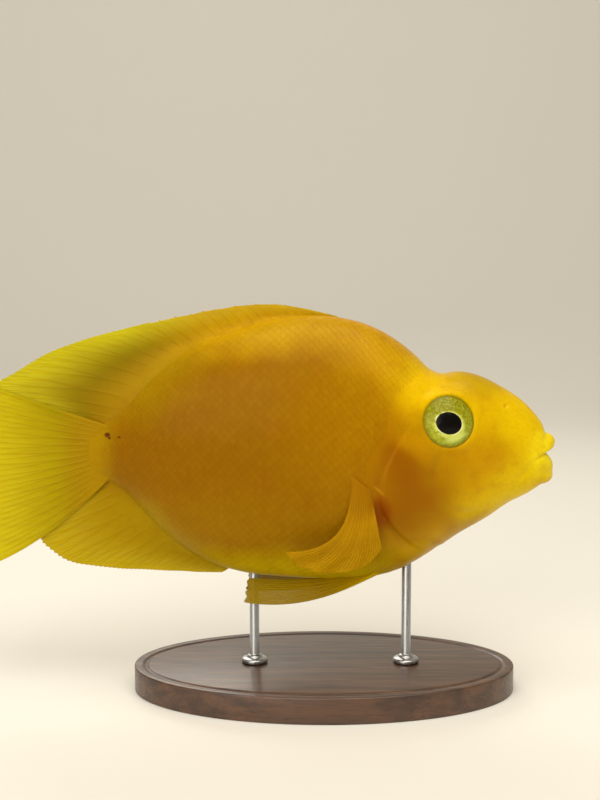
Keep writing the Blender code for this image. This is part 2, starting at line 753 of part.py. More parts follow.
def build_fins(room, finishes, collection):
    """All fins, each in its own node."""
    upper = finishes["upper_fin"]
    lower = finishes["lower_fin"]
    split = DORSAL_SPINES / (DORSAL_SPINES + DORSAL_SOFT_RAYS)
    spiny = ray_columns(0.0, split - DORSAL_SPLIT_GAP, DORSAL_SPINES)
    soft = ray_columns(split + DORSAL_SPLIT_GAP, 1.0, DORSAL_SOFT_RAYS)
    add_fin("dorsal_fin_spiny", spiny, dorsal_surface, room, collection, upper)
    add_fin("dorsal_fin_soft", soft, dorsal_surface, room, collection, upper)

    rays = ray_columns(0.0, 1.0, ANAL_SPINES + ANAL_SOFT_RAYS)
    add_fin("anal_fin", rays, anal_surface, room, collection, lower)
    rays = ray_columns(0.0, 1.0, TAIL_RAYS)
    add_fin("caudal_fin", rays, tail_fin_surface, room, collection, finishes["tail_fin"])
    rays = ray_columns(0.0, 1.0, PECTORAL_RAYS)
    pectoral = add_fin("pectoral_fin_l", rays, pectoral_surface, room, collection, lower)
    right_twin(pectoral, "pectoral_fin_r", collection)
    rays = ray_columns(0.0, 1.0, PELVIC_RAYS)
    pelvic = add_fin("pelvic_fin_l", rays, pelvic_surface, room, collection, lower)
    right_twin(pelvic, "pelvic_fin_r", collection)


def build_base(finish, collection):
    """The low oval base, its edges softened."""
    work = bmesh.new()
    bmesh.ops.create_cone(
        work, cap_ends=True, segments=BASE_SIDES, radius1=1.0, radius2=1.0, depth=BASE_HEIGHT * MM
    )
    size = Matrix.Diagonal((BASE_HALF_LENGTH * MM, BASE_HALF_WIDTH * MM, 1.0, 1.0))
    lift = Matrix.Translation((BASE_CENTRE_X * MM, 0.0, BASE_HEIGHT / 2.0 * MM))
    bmesh.ops.transform(work, matrix=lift @ size, verts=work.verts)
    mesh = bpy.data.meshes.new("stand_base")
    work.to_mesh(mesh)
    work.free()
    base = place("stand_base", mesh, collection, finish)
    edge = base.modifiers.new("edge", "BEVEL")
    edge.width = BASE_EDGE * MM
    edge.segments = 2
    edge.limit_method = "ANGLE"


def build_rod(name, x, room, finish, collection):
    """A rod with a low collar at its foot, its top fitted to the belly."""
    top = along(BELLY_LINE, x) + ROD_SINK
    foot = BASE_HEIGHT + GAP
    collar_top = foot + ROD_COLLAR_HEIGHT
    profile = (
        (0.0, foot), (ROD_COLLAR_RADIUS, foot), (ROD_COLLAR_RADIUS, collar_top - ROD_COLLAR_EDGE),
        (ROD_COLLAR_RADIUS - ROD_COLLAR_EDGE, collar_top), (ROD_RADIUS, collar_top),
        (ROD_RADIUS, top), (0.0, top),
    )
    rod = place(name, turned_mesh(name, profile, ROD_SIDES, x), collection, finish)
    combine(rod, room, "DIFFERENCE")
    keep_largest(rod)


def turned_mesh(name, profile, sides, x):
    """A solid turned about a vertical axis at x from a profile of radius and height."""
    work = bmesh.new()
    corners = [work.verts.new((radius * MM, 0.0, z * MM)) for radius, z in profile]
    lines = [work.edges.new(pair) for pair in zip(corners, corners[1:])]
    bmesh.ops.spin(
        work, geom=corners + lines, axis=(0.0, 0.0, 1.0), angle=2.0 * math.pi, steps=sides
    )
    bmesh.ops.remove_doubles(work, verts=work.verts, dist=0.01 * MM)
    bmesh.ops.recalc_face_normals(work, faces=work.faces)
    bmesh.ops.translate(work, verts=work.verts, vec=(x * MM, 0.0, 0.0))
    mesh = bpy.data.meshes.new(name)
    work.to_mesh(mesh)
    work.free()
    return mesh


def build():
    """Makes the whole model."""
    clear_scene()
    collection = new_collection("blood_parrot_cichlid")
    cutters = new_collection("cutters")
    finishes = {name: surface_finish(name) for name in COLOURS}

    room = place("room", body_mesh("room", GAP), cutters)
    room.hide_render = True
    room.display_type = "WIRE"

    body = whole_body(finishes["head_skin"], cutters, collection)
    part_body(body, finishes, cutters, collection)
    eye = flattened_ball("eye_l", EYE_CENTRE, EYE_RADIUS, EYE_HALF_DEPTH, collection)
    eye.data.materials.append(finishes["eye"])
    eye.data.shade_smooth()
    right_twin(eye, "eye_r", collection)
    build_fins(room, finishes, collection)
    build_base(finishes["stand_wood"], collection)
    build_rod("stand_rod_front", ROD_FRONT_X, room, finishes["stand_steel"], collection)
    build_rod("stand_rod_rear", ROD_REAR_X, room, finishes["stand_steel"], collection)


build()
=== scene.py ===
"""A life-size display model of a blood parrot cichlid, swimming, on a plain oval stand.

Sizes are in millimetres, along the fish's length (x, snout ahead), to its left (y) and up (z).
"""

import math

import bmesh
import bpy
import numpy as np
from mathutils import Euler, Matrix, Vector
from mathutils.bvhtree import BVHTree


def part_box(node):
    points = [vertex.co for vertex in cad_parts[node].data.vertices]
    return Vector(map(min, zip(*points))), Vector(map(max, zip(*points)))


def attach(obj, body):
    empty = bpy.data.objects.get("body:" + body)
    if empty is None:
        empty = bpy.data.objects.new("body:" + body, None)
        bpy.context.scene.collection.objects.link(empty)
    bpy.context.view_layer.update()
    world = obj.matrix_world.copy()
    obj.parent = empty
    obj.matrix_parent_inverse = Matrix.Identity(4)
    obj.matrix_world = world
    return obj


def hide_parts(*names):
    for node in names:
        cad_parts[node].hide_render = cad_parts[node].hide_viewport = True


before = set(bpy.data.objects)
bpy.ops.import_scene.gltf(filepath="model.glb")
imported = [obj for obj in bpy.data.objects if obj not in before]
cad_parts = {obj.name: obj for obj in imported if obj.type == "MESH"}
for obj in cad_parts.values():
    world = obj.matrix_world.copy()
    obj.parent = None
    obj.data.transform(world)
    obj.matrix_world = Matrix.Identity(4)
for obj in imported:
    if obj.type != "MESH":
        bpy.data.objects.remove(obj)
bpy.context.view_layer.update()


# The skin of head, trunk and tail root is one unbroken surface over solid flesh. It is turned up
# from side and top templates, given its lips and mouth, and then worked over like clay.
MM = 0.001
BACK = (
    (-54.0, 82.0), (-50.5, 83.6), (-45.5, 86.4), (-41.0, 90.4), (-36.7, 95.4), (-30.9, 101.1),
    (-22.4, 106.7), (-11.2, 112.0), (0.0, 116.0), (12.0, 118.0), (24.0, 117.5), (34.0, 114.9),
    (42.3, 110.4), (48.5, 105.4), (52.3, 101.7), (55.2, 100.2), (61.5, 100.7), (68.0, 99.4),
    (74.7, 96.1), (81.0, 92.0), (86.0, 87.0), (89.6, 81.9),
)
BELLY = (
    (-54.0, 67.8), (-50.5, 66.8), (-45.0, 64.8), (-40.0, 60.6), (-34.5, 54.5), (-26.8, 47.2),
    (-18.0, 41.6), (-6.2, 37.6), (8.0, 36.0), (24.0, 35.5), (34.0, 36.0), (43.2, 38.4),
    (52.8, 43.7), (62.2, 50.0), (70.8, 54.9), (77.2, 59.3), (83.9, 62.7), (89.6, 66.6),
)
HALF_WIDTH = (
    (-54.0, 0.9), (-50.5, 2.1), (-46.0, 3.9), (-40.0, 6.4), (-32.0, 9.6), (-20.0, 13.4),
    (-6.0, 16.6), (10.0, 18.7), (24.0, 19.4), (35.0, 19.0), (46.0, 17.1), (58.0, 14.5),
    (68.0, 11.9), (77.0, 8.9), (84.0, 6.3), (89.6, 3.9),
)
WIDEST = (
    (-54.0, 75.2), (-36.0, 76.0), (-10.0, 77.0), (15.0, 75.0), (35.0, 71.5), (55.0, 74.0),
    (75.0, 76.0), (89.6, 74.0),
)
# How full the sections are: 2 is an oval, and more is squarer
FULLNESS = ((-54.0, 2.0), (-20.0, 1.88), (15.0, 1.92), (45.0, 2.05), (58.0, 2.3), (89.6, 2.1))
BELLY_FULLNESS = 2.1
BODY_FRONT, BODY_REAR = 89.6, -54.0
SNOUT_ROUND, TAIL_ROUND = 2.2, 0.3
FRONT_RINGS, BODY_RINGS = 0.05, 0.975
SKIN_CELL = 0.56


def curve_through(table, x):
    """A smooth curve through a template's points, held level past its ends."""
    places, values = np.array(table, float).T
    slopes = np.gradient(values, places)
    x = np.clip(x, places[0], places[-1])
    i = np.clip(np.searchsorted(places, x, side="right") - 1, 0, len(places) - 2)
    span = places[i + 1] - places[i]
    t = (x - places[i]) / span
    start = (2 * t**3 - 3 * t**2 + 1) * values[i] + (t**3 - 2 * t**2 + t) * span * slopes[i]
    end = (3 * t**2 - 2 * t**3) * values[i + 1] + (t**3 - t**2) * span * slopes[i + 1]
    return start + end


def ease(low, high, value):
    """Rises smoothly from 0 at low to 1 at high."""
    t = np.clip((value - low) / (high - low), 0.0, 1.0)
    return t * t * (3.0 - 2.0 * t)


def body_spot(x, turn, shrink=1.0):
    """Points on the body at x; turn goes from the back, 0, down the left flank to the belly, pi."""
    middle = curve_through(WIDEST, x)
    side, up = np.sin(turn), np.cos(turn)
    fullness = np.where(up > 0, curve_through(FULLNESS, x), BELLY_FULLNESS)
    reach = np.where(up > 0, curve_through(BACK, x) - middle, middle - curve_through(BELLY, x))
    y = np.sign(side) * np.abs(side) ** (2.0 / fullness) * curve_through(HALF_WIDTH, x)
    z = np.sign(up) * np.abs(up) ** (2.0 / fullness) * reach
    return np.stack([x + 0.0 * y, y * shrink, middle + z * shrink], axis=-1)


def select_only(piece):
    """Makes one object the only selected one, and the active one."""
    bpy.ops.object.select_all(action="DESELECT")
    piece.select_set(True)
    bpy.context.view_layer.objects.active = piece


def face_outwards(piece):
    """Turns the faces of a closed piece outwards."""
    select_only(piece)
    bpy.ops.object.mode_set(mode="EDIT")
    bpy.ops.mesh.select_all(action="SELECT")
    bpy.ops.mesh.normals_make_consistent(inside=False)
    bpy.ops.object.mode_set(mode="OBJECT")


def read_vectors(items, field):
    """One vector for each of a mesh's points, as an array."""
    flat = np.empty(len(items) * 3, np.float32)
    items.foreach_get(field, flat)
    return flat.reshape(-1, 3).astype(float)


def read_points(piece):
    """A piece's points, in millimetres."""
    return read_vectors(piece.data.vertices, "co") / MM


def write_points(piece, points):
    """Moves a piece's points to new places, given in millimetres."""
    piece.data.vertices.foreach_set("co", (points * MM).astype(np.float32).ravel())
    piece.data.update()


def start_piece(name, primitive, **sizes):
    """A new primitive to shape, the only thing selected."""
    bpy.ops.object.select_all(action="DESELECT")
    primitive(**sizes)
    piece = bpy.context.object
    piece.name = name
    return piece


def add_ball(name, centre, radii, segments=48, rings=24):
    """A stretched ball, its size and place already in its mesh."""
    ball = start_piece(name, bpy.ops.mesh.primitive_uv_sphere_add, segments=segments, ring_count=rings)
    write_points(ball, read_points(ball) * MM * np.array(radii) + np.array(centre))
    return ball


def add_modifier(piece, name, kind, **settings):
    """Adds a modifier with its settings."""
    step = piece.modifiers.new(name, kind)
    for label, value in settings.items():
        setattr(step, label, value)


def finish_modifiers(piece):
    """Applies a piece's modifiers from first to last."""
    select_only(piece)
    for step in list(piece.modifiers):
        bpy.ops.object.modifier_apply(modifier=step.name)


# The ball's poles become snout and tail root, and its other rings take the templates' sections
skin = add_ball("fish_skin", (0, 0, 0), (1, 1, 1), 96, 190)
ball_points = read_points(skin)
place = np.arccos(np.clip(ball_points[:, 2], -1.0, 1.0)) / math.pi
turn = np.arctan2(ball_points[:, 1], ball_points[:, 0])
nose = BODY_FRONT - SNOUT_ROUND
x = nose + (BODY_REAR - nose) * (place - FRONT_RINGS) / (BODY_RINGS - FRONT_RINGS)
front = np.clip(1.0 - place / FRONT_RINGS, 0.0, 1.0)
rear = np.clip((place - BODY_RINGS) / (1.0 - BODY_RINGS), 0.0, 1.0)
x = np.where(front > 0, nose + SNOUT_ROUND * np.sin(front * math.pi / 2), x)
x = np.where(rear > 0, BODY_REAR - TAIL_ROUND * np.sin(rear * math.pi / 2), x)
shrink = np.cos(np.maximum(front, rear) * math.pi / 2)
write_points(skin, body_spot(x, turn, shrink))
face_outwards(skin)

# Each lip is a tapered roll, bent back and round to the corner of the mouth
LIPS = {
    "upper_lip": {"centre": (89.1, 0, 78.7), "radii": (2.9, 6.4, 2.8), "back": 0.145, "drop": -0.135},
    "lower_lip": {"centre": (88.5, 0, 70.9), "radii": (3.0, 6.0, 3.9), "back": 0.12, "drop": 0.105},
    "chin": {"centre": (88.1, 0, 68.4), "radii": (3.4, 4.6, 3.0), "back": 0.14, "drop": 0.05},
}
parts = [skin]
for name, lip in LIPS.items():
    roll = add_ball(name, lip["centre"], lip["radii"])
    points = read_points(roll)
    across = points[:, 1] ** 2
    points[:, 0] -= lip["back"] * across
    points[:, 2] += lip["drop"] * across
    write_points(roll, points)
    parts.append(roll)

bpy.ops.object.select_all(action="DESELECT")
for part in parts:
    part.select_set(True)
bpy.context.view_layer.objects.active = skin
bpy.ops.object.join()
add_modifier(skin, "clay", "REMESH", mode="VOXEL", voxel_size=SKIN_CELL * MM)
add_modifier(skin, "smooth", "SMOOTH", factor=0.5, iterations=4)
finish_modifiers(skin)

# The eyes sit in the head turned a little forward and up; the skin closes round them in a low rim
EYE_CENTRE = (56.8, 10.8, 86.1)
EYE_RADIUS, EYE_DEPTH = 9.0, 4.6
EYE_OPENING = 7.9
EYE_YAW, EYE_TILT = 11.0, 12.0
RIM_WIDTH, RIM_HEIGHT = 3.4, 0.34
SOCKET_DEPTH, SOCKET_REACH = 2.4, 6.0


def eye_place(side):
    """The centre and the turn of the left eye, for side 1, or the right one, for side -1."""
    turn = Euler((math.radians(EYE_TILT * side), 0.0, math.radians(-EYE_YAW * side)), "XYZ")
    return np.array(EYE_CENTRE) * (1.0, side, 1.0), turn


def in_eye(points, side):
    """Points in the eye's own directions: along it, out of the head, and up."""
    centre, turn = eye_place(side)
    return (points - centre) @ np.array(turn.to_matrix()) * (1.0, side, 1.0)


def from_eye(local, side):
    """The way back from the eye's own directions."""
    centre, turn = eye_place(side)
    return local * (1.0, side, 1.0) @ np.array(turn.to_matrix()).T + centre


def shape_eye_rim(points):
    """Sinks the skin behind the eye, and brings it up to the eye all round."""
    edge_out = EYE_DEPTH * math.sqrt(1.0 - (EYE_OPENING / EYE_RADIUS) ** 2)
    for side in (1.0, -1.0):
        local = in_eye(points, side)
        radius = np.hypot(local[:, 0], local[:, 2])
        near = (radius < EYE_OPENING + RIM_WIDTH) & (local[:, 1] > -SOCKET_REACH)
        # Points beside the opening's edge are drawn onto it, so that it is a clean circle
        on_edge = near & (np.abs(radius - EYE_OPENING) < 0.7 * SKIN_CELL)
        local[:, ::2] *= np.where(on_edge, (EYE_OPENING + 0.01) / radius, 1.0)[:, None]
        from_edge = np.hypot(local[:, 0], local[:, 2]) - EYE_OPENING
        rim = edge_out + RIM_HEIGHT * ease(0.0, 0.7, from_edge)
        raised = rim + (local[:, 1] - rim) * ease(0.0, RIM_WIDTH, from_edge)
        sunk = edge_out - SOCKET_DEPTH * ease(0.0, 0.9, -from_edge)
        local[:, 1] = np.where(from_edge > 0.0, raised, sunk)
        points[near] = from_eye(local, side)[near]
    return points


# Behind the cheek the gill cover ends in a thin free edge, with a cleft behind it
GILL_EDGE = (
    (56.5, 97.5), (52.6, 94.0), (47.6, 88.0), (42.9, 81.7), (38.9, 75.0), (36.8, 68.5), (36.7, 62.0),
    (38.6, 57.4), (42.2, 52.6), (48.0, 47.6), (54.6, 44.2), (62.0, 42.5),
)
CHEEK_GROOVE = ((56.0, 79.0), (53.5, 73.0), (54.0, 66.0), (57.5, 60.5), (63.5, 57.8), (70.0, 59.5))
MOUTH_LINE = ((91.6, 75.6), (90.0, 75.6), (88.4, 75.1), (86.6, 74.4), (85.0, 73.4), (83.9, 72.0))
JAW_GROOVE = ((84.2, 72.6), (82.4, 70.6), (80.6, 68.6), (78.6, 67.4))
SNOUT_GROOVE = ((86.2, 84.6), (84.6, 80.6), (83.6, 76.8), (84.2, 74.2))
GROOVES = (
    # line, width, depth
    (CHEEK_GROOVE, 1.3, 0.42), (JAW_GROOVE, 0.9, 0.25), (SNOUT_GROOVE, 0.8, 0.16),
)
COVER_HEIGHT = 0.46
CLEFT_DEPTH, CLEFT_DEPTH_AT_FIN = 0.24, 0.42
THROAT_FOLDS = (3.2, 6.2, 9.0)
FOLD_WIDTH, FOLD_DEPTH = 0.7, 0.22
MOUTH_WIDTH, MOUTH_DEPTH = 0.42, 0.8
NOSTRIL = (75.4, 90.6)
NOSTRIL_RADIUS, NOSTRIL_DEPTH = 0.5, 0.8
NOSTRIL_RIM, RIM_THICKNESS, RIM_RISE = 0.9, 0.4, 0.10


def line_through(corners, steps=12):
    """A smooth line in side view through a few corners."""
    count = np.arange(len(corners))
    fine = np.linspace(0, len(corners) - 1, (len(corners) - 1) * steps + 1)
    columns = [curve_through(tuple(zip(count, column)), fine) for column in zip(*corners)]
    return np.stack(columns, axis=-1)


def line_distance(points, corners):
    """Each point's distance from a line in side view, its side of the line, and how far along it is."""
    line = line_through(corners)
    flat = points[:, (0, 2)]
    best, sign, share = np.full(len(flat), 1e9), np.ones(len(flat)), np.zeros(len(flat))
    for i, (start, step) in enumerate(zip(line, np.diff(line, axis=0))):
        offset = flat - start
        t = np.clip(offset @ step / (step @ step), 0.0, 1.0)
        away = offset - t[:, None] * step
        distance = np.hypot(away[:, 0], away[:, 1])
        closer = distance < best
        best = np.where(closer, distance, best)
        sign = np.where(closer, np.sign(step[0] * offset[:, 1] - step[1] * offset[:, 0]), sign)
        share = np.where(closer, (i + t) / (len(line) - 1), share)
    return best, sign, share


def groove(points, corners, width, depth):
    """A soft groove along a line, fading out at both of its ends."""
    distance, _, share = line_distance(points, corners)
    fade = ease(0.0, 0.2, share) * ease(0.0, 0.2, 1.0 - share)
    return -depth * fade * np.exp(-(distance / width) ** 2)


def shape_head(points, normals):
    """Gill covers, cheek and jaw grooves, throat folds, nostrils and mouth."""
    off_middle = np.abs(points[:, 1]) > 0.6
    distance, side, share = line_distance(points, GILL_EDGE)
    ahead = distance * side
    strength = ease(0.1, 0.5, share) * (1.0 - 0.9 * ease(0.68, 0.96, share))
    cover = COVER_HEIGHT * ease(-0.2, 0.7, ahead) * (1.0 - ease(3.0, 15.0, ahead))
    deepest = CLEFT_DEPTH + CLEFT_DEPTH_AT_FIN * np.exp(-((share - 0.62) / 0.16) ** 2)
    cleft = -deepest * ease(-3.4, -0.4, ahead) * (1.0 - ease(-0.4, 0.5, ahead))
    move = strength * (cover + cleft)
    for line, width, depth in GROOVES:
        move += groove(points, line, width, depth)
    for shift in THROAT_FOLDS:
        fold = tuple((x + shift * 0.9, z - shift * 0.18) for x, z in GILL_EDGE[8:])
        move += groove(points, fold, FOLD_WIDTH, FOLD_DEPTH)
    from_nostril = np.hypot(points[:, 0] - NOSTRIL[0], points[:, 2] - NOSTRIL[1])
    move += RIM_RISE * np.exp(-((from_nostril - NOSTRIL_RIM) / RIM_THICKNESS) ** 2)
    move -= NOSTRIL_DEPTH * np.exp(-(from_nostril / NOSTRIL_RADIUS) ** 2)
    distance, _, share = line_distance(points, MOUTH_LINE)
    mouth = -MOUTH_DEPTH * (1.0 - ease(0.45, 1.0, share)) * np.exp(-(distance / MOUTH_WIDTH) ** 2)
    return points + normals * (move * off_middle + mouth)[:, None]


points = shape_eye_rim(read_points(skin))
write_points(skin, points)
write_points(skin, shape_head(points, read_vectors(skin.data.vertex_normals, "vector")))
add_modifier(skin, "settle", "SMOOTH", factor=0.5, iterations=1)
finish_modifiers(skin)
bpy.ops.object.shade_smooth()


# Skin colour follows the living fish: bright yellow on the crown and snout, amber orange on the flank,
# redder over the gill cover, olive on the belly. The pale band along the top of the back is the fish's
# yellow with a painted highlight laid on it. Each patch is a soft oval in side view.
BASE_COLOUR = (145, 95, 0)
MARKINGS_AND_HIGHLIGHT = (
    # name, centre x and z, half length and height, tilt, softness, strength, colour
    ("rear flank", (-30, 86), (26, 15), 0, 0.9, 0.8, (136, 88, 0)),
    ("lower flank", (-10, 50), (46, 12), 0, 0.8, 0.6, (158, 115, 1)),
    ("shoulder", (36, 86), (20, 23), 0, 0.9, 0.85, (168, 117, 1)),
    ("belly", (16, 35), (62, 9), 0, 0.7, 0.95, (206, 176, 5)),
    ("rear belly", (-36, 50), (26, 7), 38, 0.9, 0.95, (166, 138, 2)),
    ("rear back", (-34, 102), (30, 9), -37, 0.9, 0.95, (162, 128, 2)),
    # Painted highlight: the back's yellow, made paler along the top where the light falls on it.
    ("back", (0, 115.5), (32, 8), -5, 0.7, 0.95, (196, 150, 2)),
    ("nape", (42, 106), (20, 11), 35, 0.7, 0.85, (200, 150, 2)),
    ("head", (78, 78), (31, 25), 0, 0.35, 1.0, (206, 166, 3)),
    ("brow", (54, 96), (12, 8), 20, 0.7, 0.9, (224, 184, 2)),
    ("crown", (66, 99), (8, 5), 0, 0.8, 0.8, (178, 146, 2)),
    ("snout", (85, 85), (11, 9), 30, 0.7, 0.9, (222, 186, 3)),
    ("cheek", (66, 74), (11, 8), 0, 0.7, 0.8, (186, 134, 2)),
    ("chin", (80, 64), (15, 8), -35, 0.7, 0.9, (222, 190, 4)),
    ("lips", (91, 76), (6, 8), 0, 0.6, 0.9, (236, 214, 24)),
    ("throat", (55, 46), (16, 8), 0, 0.7, 0.9, (198, 154, 3)),
    ("gill cover", (45.5, 68.5), (12, 12.5), 0, 0.9, 0.95, (146, 92, 1)),
    ("cover's blotch", (42, 72), (4, 8), -15, 0.8, 0.6, (138, 76, 0)),
    ("cover's rear blotch", (50, 62), (8, 4), -20, 0.8, 0.5, (140, 78, 0)),
    ("cover's top", (47, 79), (5, 3), 30, 0.8, 0.5, (196, 140, 4)),
    ("tail root", (-58, 75), (11, 16), 0, 0.4, 0.9, (162, 127, 2)),
)
# Two of the small marks are painted light: a pale streak on the gill cover's edge is a painted
# highlight, and the gill opening's red is deepened with painted shade.
SMALL_MARKS_AND_PAINTED_LIGHT = (
    # name, centre x and z, half length and height, tilt, softness, strength, colour
    # The gill opening's red membrane, darkened with painted shade under the gill cover's edge.
    ("gill opening, red with painted shade", (36.7, 59.6), (3.2, 4.7), -8, 0.45, 0.95, (134, 62, 0)),
    # Painted highlight: a pale streak where light catches the gill cover's edge.
    ("cover's edge, painted highlight", (36.0, 66.4), (1.9, 0.35), 40, 0.9, 0.45, (200, 144, 24)),
    ("tail speck", (-47.3, 81.1), (0.95, 0.7), 0, 0.35, 1.0, (84, 36, 8)),
    ("low speck", (-46.6, 80.2), (0.5, 0.45), 0, 0.35, 1.0, (84, 36, 8)),
    ("front speck", (-43.4, 80.6), (0.6, 0.28), 0, 0.35, 1.0, (84, 36, 8)),
)
MOTTLES = (
    # size, detail, where it starts, strength, colour
    (5.0, 4.0, 0.45, 0.22, (150, 84, 0)),
    (0.9, 3.0, 0.40, 0.12, (128, 74, 0)),
)
DRIFT, DRIFT_SIZE = 3.5, 11.111
ANY_DEPTH = 1e3
SOCKET_KINDS = {1: "Float", 3: "Vector", 4: "Color"}


def light(colour):
    """A colour from 0 to 255 as scene-linear light, with its alpha."""
    share = np.array(colour) / 255.0
    linear = np.where(share <= 0.04045, share / 12.92, ((share + 0.055) / 1.055) ** 2.4)
    return (*(float(value) for value in linear), 1.0)


def fill(tree, socket, value):
    """Links a socket to another one, or sets it to a plain value."""
    if isinstance(value, bpy.types.NodeSocket):
        tree.links.new(value, socket)
    else:
        socket.default_value = value


def add_node(tree, kind, *values, **settings):
    """A shader node with its settings, and its first sockets filled; gives its outputs."""
    node = tree.nodes.new("ShaderNode" + kind)
    for name, value in settings.items():
        setattr(node, name, value)
    for socket, value in zip(node.inputs, values):
        fill(tree, socket, value)
    return node.outputs


def product(tree, first, second):
    """Two values multiplied."""
    return add_node(tree, "Math", first, second, operation="MULTIPLY")[0]


def mix_colour(tree, share, first, second):
    """Blends two colours; each is a socket or a colour from 0 to 255."""
    node = tree.nodes.new("ShaderNodeMix")
    node.data_type = "RGBA"
    for place, value in ((0, share), (6, first), (7, second)):
        fill(tree, node.inputs[place], light(value) if isinstance(value, tuple) else value)
    return node.outputs[2]


def map_range(tree, value, low, high, to_low=0.0, to_high=1.0):
    """Maps a value smoothly from one range to another."""
    ends = (low, high, to_low, to_high)
    return add_node(tree, "MapRange", value, *ends, interpolation_type="SMOOTHSTEP")[0]


def lay_over(tree, colour, patch, value, *span):
    """Lays a patch over a colour, as far as a value is into its span."""
    return mix_colour(tree, map_range(tree, value, *span), colour, patch)


def lay_out(tree, place, centre, turn, size):
    """Coordinates that run from a centre, turned, in units of a size."""
    return add_node(tree, "Mapping", place, centre, turn, size, vector_type="TEXTURE")[0]


def oval(tree, place, centre, half, tilt, unit=MM):
    """How far out a spot is in an oval seen from the side: 0 in its middle, 1 at its edge."""
    middle = (centre[0] * unit, 0.0, centre[1] * unit)
    size = (half[0] * unit, ANY_DEPTH, half[1] * unit)
    local = lay_out(tree, place, middle, (0.0, math.radians(tilt), 0.0), size)
    return add_node(tree, "VectorMath", local, operation="LENGTH")["Value"]


def noise(tree, size, detail=3.0, stretch=(1.0, 1.0, 1.0), output="Fac"):
    """Soft noise over a piece, whose lumps are about size millimetres across."""
    scale = tuple(1.0 / (size * MM) / one for one in stretch)
    node = tree.nodes.new("ShaderNodeTexNoise")
    where, flat = add_node(tree, "TexCoord")["Object"], (0.0, 0.0, 0.0)
    fill(tree, node.inputs["Vector"], add_node(tree, "Mapping", where, flat, flat, scale)[0])
    node.inputs["Scale"].default_value = 1.0
    node.inputs["Detail"].default_value = detail
    return node.outputs[output]


def new_group(name, inputs, outputs):
    """An empty node group with its named sockets: what it is given, and what it results in."""
    group = bpy.data.node_groups.new(name, "ShaderNodeTree")
    for label, value in inputs.items():
        kind = "NodeSocket" + SOCKET_KINDS[np.size(value)]
        group.interface.new_socket(label, in_out="INPUT", socket_type=kind).default_value = value
    for label, kind in outputs.items():
        group.interface.new_socket(label, in_out="OUTPUT", socket_type="NodeSocket" + kind)
    return group, group.nodes.new("NodeGroupInput").outputs, group.nodes.new("NodeGroupOutput").inputs


def make_markings_and_painted_light():
    """The fish's markings and painted light as one node group, for the skin, the scales and the fins'
    roots.
    """
    group, given, result = new_group("fish markings and painted light", {"Mottle": 1.0}, {"Colour": "Color"})
    where = add_node(group, "TexCoord")["Object"]
    cloud = noise(group, DRIFT_SIZE, 0.4, output="Color")
    reach, half = (2.0 * DRIFT * MM,) * 3, (DRIFT * MM,) * 3
    drifted = add_node(group, "VectorMath", cloud, reach, where, operation="MULTIPLY_ADD")[0]
    drifted = add_node(group, "VectorMath", drifted, half, operation="SUBTRACT")[0]

    def paint(colour, place, marks):
        """Lays marks over a colour, one after another."""
        for _, centre, half, tilt, softness, strength, patch in marks:
            out = oval(group, place, centre, half, tilt)
            colour = lay_over(group, colour, patch, out, 1.0 - softness, 1.0 + softness, strength, 0.0)
        return colour

    colour = paint(BASE_COLOUR, drifted, MARKINGS_AND_HIGHLIGHT)
    for size, detail, start, strength, patch in MOTTLES:
        mottle = map_range(group, noise(group, size, detail), start, 0.75, 0.0, strength)
        colour = mix_colour(group, product(group, mottle, given["Mottle"]), colour, patch)
    fill(group, result["Colour"], paint(colour, where, SMALL_MARKS_AND_PAINTED_LIGHT))
    return group


def make_flesh_grain():
    """Pores and a patchy wetness as one node group, for the skin, the scales and the fins."""
    results = {"Pores": "Float", "Roughness": "Float"}
    group, given, result = new_group("flesh grain", {"Pore Size": 0.5}, results)
    where = add_node(group, "TexCoord")["Object"]
    pores = group.nodes.new("ShaderNodeTexNoise")
    scale = add_node(group, "Math", 1.0 / MM, given["Pore Size"], operation="DIVIDE")[0]
    for label, value in (("Vector", where), ("Scale", scale), ("Detail", 3.0)):
        fill(group, pores.inputs[label], value)
    fill(group, result["Pores"], pores.outputs["Fac"])
    wetness = map_range(group, noise(group, 3.0), 0.3, 0.7, 0.30, 0.44)
    fill(group, result["Roughness"], wetness)
    return group


def new_material(name, sockets):
    """A material with one Principled shader, whose own sockets are set to plain values."""
    material = bpy.data.materials.new(name)
    material.use_nodes = True
    shader = material.node_tree.nodes["Principled BSDF"]
    for label, value in sockets.items():
        shader.inputs[label].default_value = value
    return material, material.node_tree, shader


def add_group(tree, group, values):
    """Places a node group in a material, with the material's own values; gives its outputs."""
    node = tree.nodes.new("ShaderNodeGroup")
    node.node_tree = group
    for label, value in values.items():
        fill(tree, node.inputs[label], value)
    return node.outputs


def add_bump(tree, shader, height, distance, strength):
    """Raises the surface by a height pattern, distance millimetres at most."""
    bump = tree.nodes.new("ShaderNodeBump")
    for label, value in (("Height", height), ("Distance", distance * MM), ("Strength", strength)):
        fill(tree, bump.inputs[label], value)
    tree.links.new(bump.outputs[0], shader.inputs["Normal"])


def finish_flesh(tree, shader, colour, pore_size, pore_depth, strength):
    """Gives a shader flesh's colour, its patchy wetness and its pores."""
    grain = add_group(tree, flesh_grain, {"Pore Size": pore_size})
    tree.links.new(colour, shader.inputs["Base Color"])
    tree.links.new(grain["Roughness"], shader.inputs["Roughness"])
    add_bump(tree, shader, grain["Pores"], pore_depth, strength)


FLESH = {
    "Specular IOR Level": 0.25, "Specular Tint": light((255, 196, 70)),
    "Subsurface Weight": 0.15, "Subsurface Radius": (1.0, 0.7, 0.1), "Subsurface Scale": 2.5 * MM,
    "Coat Weight": 0.03, "Coat Roughness": 0.2,
}
markings_and_painted_light, flesh_grain = make_markings_and_painted_light(), make_flesh_grain()
wet_skin, tree, shader = new_material("wet_skin", FLESH)
markings_and_light = add_group(tree, markings_and_painted_light, {"Mottle": 1.0})["Colour"]
finish_flesh(tree, shader, markings_and_light, 0.55, 0.06, 0.7)
skin.data.materials.append(wet_skin)
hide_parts("head", "gill_cover_l", "gill_cover_r", "torso", "tail")
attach(skin, "root")


